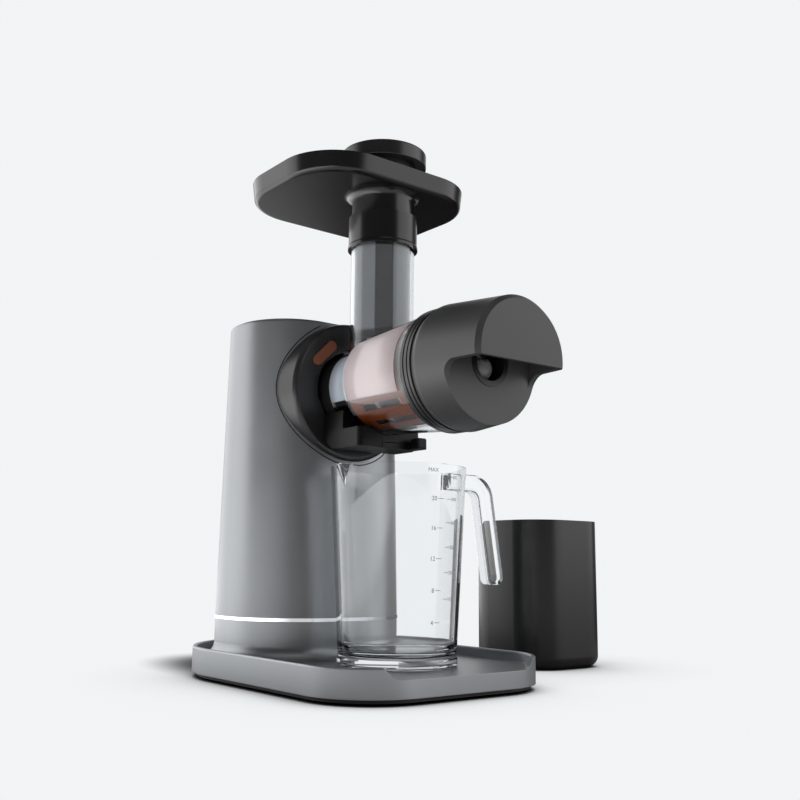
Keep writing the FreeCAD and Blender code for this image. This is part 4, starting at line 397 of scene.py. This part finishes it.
def seam_line():
    """Edges along the tower's face, found by looking at it along the auger's axis."""
    tower = solids["tower_shell"].data
    face = BVHTree.FromPolygons([corner.co for corner in tower.vertices],
                                [polygon.vertices for polygon in tower.polygons])
    points = []
    for step in range(SEAM_STEPS + 1):
        angle = math.radians(SEAM_START + step * SEAM_SWEEP / SEAM_STEPS)
        eye = Vector((BEFORE_TOWER, TUBE_Y + SEAM_CIRCLE * math.cos(angle),
                      AXIS_Z + SEAM_CIRCLE * math.sin(angle)))
        place = face.ray_cast(eye, Vector((-1, 0, 0)))[0]
        if place is not None:
            points.append(place)
    line = bpy.data.meshes.new("seam_line")
    line.from_pydata(points, [(i, i + 1) for i in range(len(points) - 1)], [])
    return line


# Painted shade: the bead's near-black finish stands for the shadow in the joint.
painted_joint_shade = finish("painted_joint_shade", (0.004, 0.004, 0.004), 0.6)
seam = grown("collar_shadow_line", seam_line(), bead_tree(), radius=SEAM_RADIUS, sides=SEAM_SIDES,
             rubber=painted_joint_shade)
piece("collar_shadow_line", seam, "base")

# Drive train: nylon gears moulded in one piece each, turning on steel shafts in sintered
# bronze bearings. They sit in a two-part plastic case inside the tower, out of sight.
wear(finish("gear_nylon", (0.62, 0.60, 0.53), 0.45, 0.1), "output_gear", "idler_gear")
wear(finish("case_plastic", (0.03, 0.03, 0.032), 0.5, 0.2), "gear_housing", "gear_cover",
     "motor_cradle", "board_posts", "cooling_fan")
wear(finish("shaft_steel", (0.5, 0.5, 0.51), 0.25, 0.02, metallic=1.0), "drive_shaft",
     "motor_shaft", "motor_can")
wear(finish("bearing_bronze", (0.5, 0.3, 0.12), 0.35, 0.05, metallic=1.0), "shaft_bearings")

# Motor, board and switch: stacked iron laminations in a steel can, a green board on
# posts that switches it, and a snap-in black rocker at the back of the tower.
wear(finish("stator_iron", (0.15, 0.15, 0.15), 0.5, 0.2, metallic=1.0), "motor_stator",
     "rotor_core")
wear(finish("board_green", (0.01, 0.10, 0.03), 0.4, 0.1), "control_board")
wear(finish("switch_black", (0.012, 0.012, 0.012), 0.35, 0.05, edge=0.0005), "switch_frame",
     "power_rocker")

# Drum and feed tube: clear moulded plastic, the tube welded upright on the drum. A black
# bayonet flange closes the drum behind, and a grooved black ring holds it in front.
DRUM_TINT = (0.93, 0.95, 0.97, 1)
PLASTIC_IOR = 1.49


def clear_plastic(name, colour, roughness):
    material = bpy.data.materials.new(name)
    material.use_nodes = True
    shader = material.node_tree.nodes["Principled BSDF"]
    shader.inputs["Base Color"].default_value = colour
    shader.inputs["Roughness"].default_value = roughness
    shader.inputs["IOR"].default_value = PLASTIC_IOR
    shader.inputs["Transmission Weight"].default_value = 1.0
    return material


wear(clear_plastic("drum_clear", DRUM_TINT, 0.03), "drum_shell")
wear(clear_plastic("tube_clear", DRUM_TINT, 0.0), "feed_tube")
wear(finish("flange_black", (0.010, 0.010, 0.010), 0.3, 0.05), "bayonet_flange",
     "screen_frame", "auger_spider")
wear(finish("grooved_ring_black", (0.020, 0.020, 0.020), 0.34, 0.03), "front_ring")

# Screen and auger: a copper-coloured sieve with a pale satin screw turning inside it.
# Both are moulded, and lift out of the drum for washing.
wear(finish("screen_copper", (0.36, 0.075, 0.014), 0.35, 0.1), "screen_basket")
wear(finish("auger_satin", (0.45, 0.40, 0.40), 0.35, 0.05), "auger")

# Spout and drip stop: gloss black mouldings under the drum. The stop swings on a pin
# to open the outlet over the jug.
wear(finish("spout_gloss", (0.003, 0.003, 0.003), 0.34, 0.03, edge=0.0007, specular=0.18),
     "spout_block", "drip_stop")

# Painted reflection: a pale translucent skin on each side of the upper drum, from a straight
# line low down up to the feed tube, stands for the studio light reflected there. It is painted
# bluish on the neck and pinkish over the screen.
REFLECTED_LOW, REFLECTED_HIGH = -25, 52
REFLECTED_STEPS = 48
REFLECTED_PROUD, REFLECTED_THICK = 0.25 * MM, 0.2 * MM
REFLECTED_GRAIN, REFLECTED_GRAIN_SCALE, REFLECTED_DRIFT = 0.1, 400.0, 0.02
REFLECTED_CLEARNESS = 0.25
# Places along the drum, counted forwards from the feed tube, and the drum's radius.
NECK_PROFILE = ((-23.5, 27.5), (-14, 27.5), (-5.2, 27.5), (-1.4, 31.6), (2.2, 34.2),
                (4.5, 34.53))
BARREL_PROFILE = ((4.5, 34.53), (20, 35.57), (40, 36.9), (63.5, 38.46))


def reflection_band_side(built, profile, start):
    """One side of a painted reflection band: an outer and an inner skin, closed round their edges.
    """
    skins = []
    for lift in (REFLECTED_PROUD, REFLECTED_PROUD - REFLECTED_THICK):
        rows = []
        for step in range(REFLECTED_STEPS + 1):
            angle = math.radians(start + (REFLECTED_HIGH - REFLECTED_LOW) * step / REFLECTED_STEPS)
            rows.append([built.verts.new((
                TUBE_X + x * MM,
                TUBE_Y - (radius * MM + lift) * math.cos(angle),
                AXIS_Z + (radius * MM + lift) * math.sin(angle))) for x, radius in profile])
        skins.append(rows)
    outer, inner = skins
    last = len(profile) - 1
    for rows in skins:
        for first, second in zip(rows, rows[1:]):
            for i in range(last):
                built.faces.new((first[i], first[i + 1], second[i + 1], second[i]))
    for row in (0, REFLECTED_STEPS):
        for i in range(last):
            built.faces.new((outer[row][i], outer[row][i + 1], inner[row][i + 1],
                             inner[row][i]))
    for i in (0, last):
        for row in range(REFLECTED_STEPS):
            built.faces.new((outer[row][i], outer[row + 1][i], inner[row + 1][i],
                             inner[row][i]))


def painted_reflection_band(name, profile):
    """Both sides of a painted reflection band, as one mesh with its faces outwards."""
    built = bmesh.new()
    for start in (REFLECTED_LOW, 180 - REFLECTED_HIGH):
        reflection_band_side(built, profile, start)
    bmesh.ops.recalc_face_normals(built, faces=built.faces)
    for face in built.faces:
        face.smooth = True
    mesh = bpy.data.meshes.new(name)
    built.to_mesh(mesh)
    built.free()
    return mesh


# The painted reflection's tints: pinkish where it lies over the screen, bluish on the neck.
reflection_over_screen = finish("painted_reflection_screen", (0.80, 0.69, 0.70), 0.30, REFLECTED_GRAIN,
                     REFLECTED_GRAIN_SCALE, REFLECTED_DRIFT, transmission=REFLECTED_CLEARNESS, ior=PLASTIC_IOR)
reflection_over_neck = finish("painted_reflection_neck", (0.60, 0.65, 0.73), 0.30, REFLECTED_GRAIN,
                    REFLECTED_GRAIN_SCALE, REFLECTED_DRIFT, transmission=REFLECTED_CLEARNESS, ior=PLASTIC_IOR)
piece("drum_painted_reflection", painted_reflection_band("drum_painted_reflection", BARREL_PROFILE), "head",
      reflection_over_screen)
piece("neck_painted_reflection", painted_reflection_band("neck_painted_reflection", NECK_PROFILE), "head",
      reflection_over_neck)

# Pulp cap: a satin black moulded cup that turns onto the front ring. Its hood stands
# over a dark nozzle ring, where the dry pulp comes out.
wear(finish("cap_satin", (0.040, 0.040, 0.041), 0.42, 0.08), "pulp_cap")
wear(finish("nozzle_black", (0.004, 0.004, 0.004), 0.35, 0.05), "outlet_nozzle")

# Auger tip: the front end of the auger, a grey moulded boss that shows in the nozzle. It
# sits off the axis, with a dent along its top that lets the pulp pass.
TIP_SIDES = 48
TIP_REACH, TIP_LEAN, TIP_DROP = 7.4, 1.9, 1.5
DENT_DEPTH, DENT_ANGLE, DENT_WIDTH = 0.34, 95, 0.42
# Places forwards of the feed tube, and the tip's share of its full size there.
TIP_STATIONS = ((98.4, 0.55), (99.5, 1.0), (103.0, 1.0), (105.0, 0.86), (106.2, 0.55),
                (106.5, 0.2))


def tip_reach(angle):
    """How far the tip's full section reaches in one direction, in mm."""
    off_centre = (angle - math.radians(DENT_ANGLE)) / DENT_WIDTH
    dent = 1 - DENT_DEPTH * math.exp(-off_centre ** 2)
    return (TIP_REACH + TIP_LEAN * math.cos(angle + math.radians(90))) * dent


def auger_tip():
    built = bmesh.new()
    angles = [2 * math.pi * step / TIP_SIDES for step in range(TIP_SIDES)]
    rows = [[built.verts.new((
        TUBE_X + x * MM,
        TUBE_Y + share * tip_reach(angle) * math.cos(angle) * MM,
        AXIS_Z + (share * tip_reach(angle) * math.sin(angle) - TIP_DROP) * MM))
        for angle in angles] for x, share in TIP_STATIONS]
    for first, second in zip(rows, rows[1:]):
        for step in range(TIP_SIDES):
            beside = (step + 1) % TIP_SIDES
            built.faces.new((first[step], first[beside], second[beside], second[step]))
    built.faces.new(rows[0])
    built.faces.new(rows[-1])
    bmesh.ops.recalc_face_normals(built, faces=built.faces)
    for face in built.faces:
        face.smooth = len(face.verts) == 4
    mesh = bpy.data.meshes.new("auger_tip")
    built.to_mesh(mesh)
    built.free()
    return mesh


piece("auger_tip", auger_tip(), "drive",
      finish("auger_tip_grey", (0.17, 0.17, 0.17), 0.3, 0.05))

# Hopper: a gloss black tray for the produce, with a sleeve that slips over the feed
# tube. Both are mouldings, polished in the tool.
wear(finish("hopper_gloss", (0.005, 0.005, 0.0055), 0.22, 0.03), "hopper_tray",
     "hopper_sleeve")

# Pusher: a smoke grey plastic plunger with a painted dark reflection band down its front and
# its back, where its gloss would mirror the dim room, and a gloss black knob on top. It drops
# loosely into the feed tube.
DARK_BAND_TONE = (0.012, 0.012, 0.012, 1)
DARK_BAND_OFFSET, DARK_BAND_HALF, DARK_BAND_EDGE = 1.6 * MM, 5.8 * MM, 0.6 * MM


def add_painted_dark_band(material):
    """Lays the painted dark reflection band over the tone of a finish."""
    tree = material.node_tree
    base = tree.nodes["Principled BSDF"].inputs["Base Color"]
    tone = base.links[0].from_socket
    place = tree.nodes.new("ShaderNodeTexCoord").outputs["Object"]
    middle = TUBE_X * TO_RIGHT.x + TUBE_Y * TO_RIGHT.y + DARK_BAND_OFFSET
    across = math_node(tree, "SUBTRACT", distance_along(tree, place, TO_RIGHT), middle)
    away = math_node(tree, "ABSOLUTE", across)
    dark_band = tree.nodes.new("ShaderNodeMix")
    dark_band.data_type = "RGBA"
    dark_band.inputs["A"].default_value = DARK_BAND_TONE
    tree.links.new(tone, dark_band.inputs["B"])
    tree.links.new(ramp(tree, away, DARK_BAND_HALF, DARK_BAND_HALF + DARK_BAND_EDGE),
                   dark_band.inputs["Factor"])
    tree.links.new(dark_band.outputs["Result"], base)


# The band is painted reflection, set square to the camera's right so that it faces the camera.
pusher_smoke = finish("pusher_smoke", (0.26, 0.265, 0.27), 0.25, drift=0.0)
add_painted_dark_band(pusher_smoke)
wear(pusher_smoke, "pusher_body")
wear(finish("knob_gloss", (0.012, 0.012, 0.013), 0.28, 0.03), "pusher_knob")

# Measuring jug: one clear moulding with its spout and handle, standing loose on the tray
# under the drip stop.
wear(clear_plastic("jug_clear", (0.96, 0.97, 0.98, 1), 0.01), "measuring_jug")

# Scale on the jug: thin grey ink printed on its tapered wall, ounces on the left and
# millilitres on the right. It is laid out flat, X in degrees round the jug and Y in mm
# above the table, and then wrapped onto the wall.
JUG_CENTRE_X = TUBE_X + 20.7 * MM
JUG_LOW, JUG_TOP = 19.7, 142.7
JUG_LOW_RADIUS, JUG_TOP_RADIUS = 38.8, 45.4
WIDENING = (JUG_TOP_RADIUS - JUG_LOW_RADIUS) / (JUG_TOP - JUG_LOW)
INK_PROUD, TICK_HEIGHT = 0.06, 0.32
OUNCES = (("20", 120.6), ("16", 102.1), ("12", 83.0), ("8", 63.3), ("4", 43.6))
OUNCE_SIZE, OUNCE_END, OUNCE_DROP, OUNCE_TICK = 4.0, -4.6, 1.4, (-3.6, 2.4)
MILLILITRES = (("600", 134.6), ("500", 120.5), ("400", 105.6), ("300", 90.2),
               ("200", 74.3), ("100", 57.9))
MILLILITRE_SIZE, MILLILITRE_END, MILLILITRE_DROP, MILLILITRE_TICK = 3.2, 18.5, 1.1, (6.2, 11.8)
MAX_SIZE, MAX_END, MAX_FOOT = 3.6, -4.0, 137.2
LETTER_STEPS = 3


def flat_word(text, size, right_end, foot):
    """Corners and faces of a word in the flat layout."""
    curve = bpy.data.curves.new("ink", "FONT")
    curve.body = text
    curve.size = size
    curve.align_x = "RIGHT"
    curve.resolution_u = LETTER_STEPS
    holder = bpy.data.objects.new("ink", curve)
    bpy.context.scene.collection.objects.link(holder)
    flat = bpy.data.meshes.new_from_object(holder)
    radius = JUG_LOW_RADIUS + WIDENING * (foot - JUG_LOW)
    corners = [(right_end + math.degrees(corner.co.x / radius), foot + corner.co.y, 0)
               for corner in flat.vertices]
    faces = [tuple(polygon.vertices) for polygon in flat.polygons]
    bpy.data.objects.remove(holder)
    bpy.data.curves.remove(curve)
    bpy.data.meshes.remove(flat)
    return corners, faces


def flat_scale():
    """The layout: words as faces, and each tick as a point with its width."""
    words = [("MAX", MAX_SIZE, MAX_END, MAX_FOOT)]
    words += [(text, OUNCE_SIZE, OUNCE_END, height - OUNCE_DROP) for text, height in OUNCES]
    words += [(text, MILLILITRE_SIZE, MILLILITRE_END, height - MILLILITRE_DROP)
              for text, height in MILLILITRES]
    corners, faces = [], []
    for word in words:
        more_corners, more_faces = flat_word(*word)
        faces += [[len(corners) + i for i in face] for face in more_faces]
        corners += more_corners
    widths = [0.0] * len(corners)
    for marks, (left, right) in ((OUNCES, OUNCE_TICK), (MILLILITRES, MILLILITRE_TICK)):
        corners += [((left + right) / 2, height, 0) for text, height in marks]
        widths += [right - left] * len(marks)
    layout = bpy.data.meshes.new("flat_scale")
    layout.from_pydata(corners, [], faces)
    layout.attributes.new("tick_width", "FLOAT", "POINT").data.foreach_set("value", widths)
    return layout


def scale_tree():
    """Sets a tick at each tick point and wraps the whole layout round the jug."""
    tree, given = geometry_tree(
        "printed_scale", centre_x="Float", centre_y="Float", low_radius="Float",
        low_height="Float", widening="Float", proud="Float", tick_height="Float",
        ink="Material")
    join = tree.links.new
    width = tree.nodes.new("GeometryNodeInputNamedAttribute")
    width.data_type = "FLOAT"
    width.inputs["Name"].default_value = "tick_width"
    is_tick = math_node(tree, "GREATER_THAN", width.outputs["Attribute"], 0.0)
    words = tree.nodes.new("GeometryNodeDeleteGeometry")
    join(given["Geometry"], words.inputs["Geometry"])
    join(is_tick, words.inputs["Selection"])
    dash = tree.nodes.new("GeometryNodeMeshGrid")
    dash.inputs["Size X"].default_value = 1.0
    dash.inputs["Vertices X"].default_value = 2
    dash.inputs["Vertices Y"].default_value = 2
    join(given["tick_height"], dash.inputs["Size Y"])
    stretch = tree.nodes.new("ShaderNodeCombineXYZ")
    stretch.inputs["Y"].default_value = 1.0
    stretch.inputs["Z"].default_value = 1.0
    join(width.outputs["Attribute"], stretch.inputs["X"])
    ticks = tree.nodes.new("GeometryNodeInstanceOnPoints")
    join(given["Geometry"], ticks.inputs["Points"])
    join(is_tick, ticks.inputs["Selection"])
    join(dash.outputs["Mesh"], ticks.inputs["Instance"])
    join(stretch.outputs["Vector"], ticks.inputs["Scale"])
    laid = tree.nodes.new("GeometryNodeRealizeInstances")
    join(ticks.outputs["Instances"], laid.inputs["Geometry"])
    flat = tree.nodes.new("GeometryNodeJoinGeometry")
    join(words.outputs["Geometry"], flat.inputs["Geometry"])
    join(laid.outputs["Geometry"], flat.inputs["Geometry"])
    place = tree.nodes.new("ShaderNodeSeparateXYZ")
    join(tree.nodes.new("GeometryNodeInputPosition").outputs["Position"],
         place.inputs["Vector"])
    turn = math_node(tree, "RADIANS", place.outputs["X"])
    height = place.outputs["Y"]
    above = math_node(tree, "SUBTRACT", height, given["low_height"])
    wall = math_node(tree, "ADD", given["low_radius"],
                     math_node(tree, "MULTIPLY", given["widening"], above))
    radius = math_node(tree, "MULTIPLY", math_node(tree, "ADD", wall, given["proud"]), MM)
    wrapped = tree.nodes.new("ShaderNodeCombineXYZ")
    for axis, centre, wave in (("X", "centre_x", "COSINE"), ("Y", "centre_y", "SINE")):
        reach = math_node(tree, "MULTIPLY", radius, math_node(tree, wave, turn))
        join(math_node(tree, "ADD", given[centre], reach), wrapped.inputs[axis])
    join(math_node(tree, "MULTIPLY", height, MM), wrapped.inputs["Z"])
    moved = tree.nodes.new("GeometryNodeSetPosition")
    join(flat.outputs["Geometry"], moved.inputs["Geometry"])
    join(wrapped.outputs["Vector"], moved.inputs["Position"])
    tree_end(tree, moved.outputs["Geometry"], given["ink"])
    return tree


scale_ink = finish("scale_ink", (0.16, 0.16, 0.17), 0.6)
scale = grown("jug_scale", flat_scale(), scale_tree(), centre_x=JUG_CENTRE_X,
              centre_y=TUBE_Y, low_radius=JUG_LOW_RADIUS, low_height=JUG_LOW,
              widening=WIDENING, proud=INK_PROUD, tick_height=TICK_HEIGHT, ink=scale_ink)
piece("jug_scale", scale, "jug")

# Pulp bin: a square bucket with rounded corners, moulded in gloss black plastic. It
# stands by itself beside the tray and catches the pulp.
wear(finish("bin_gloss", (0.012, 0.012, 0.012), 0.30, 0.03), "waste_bin")
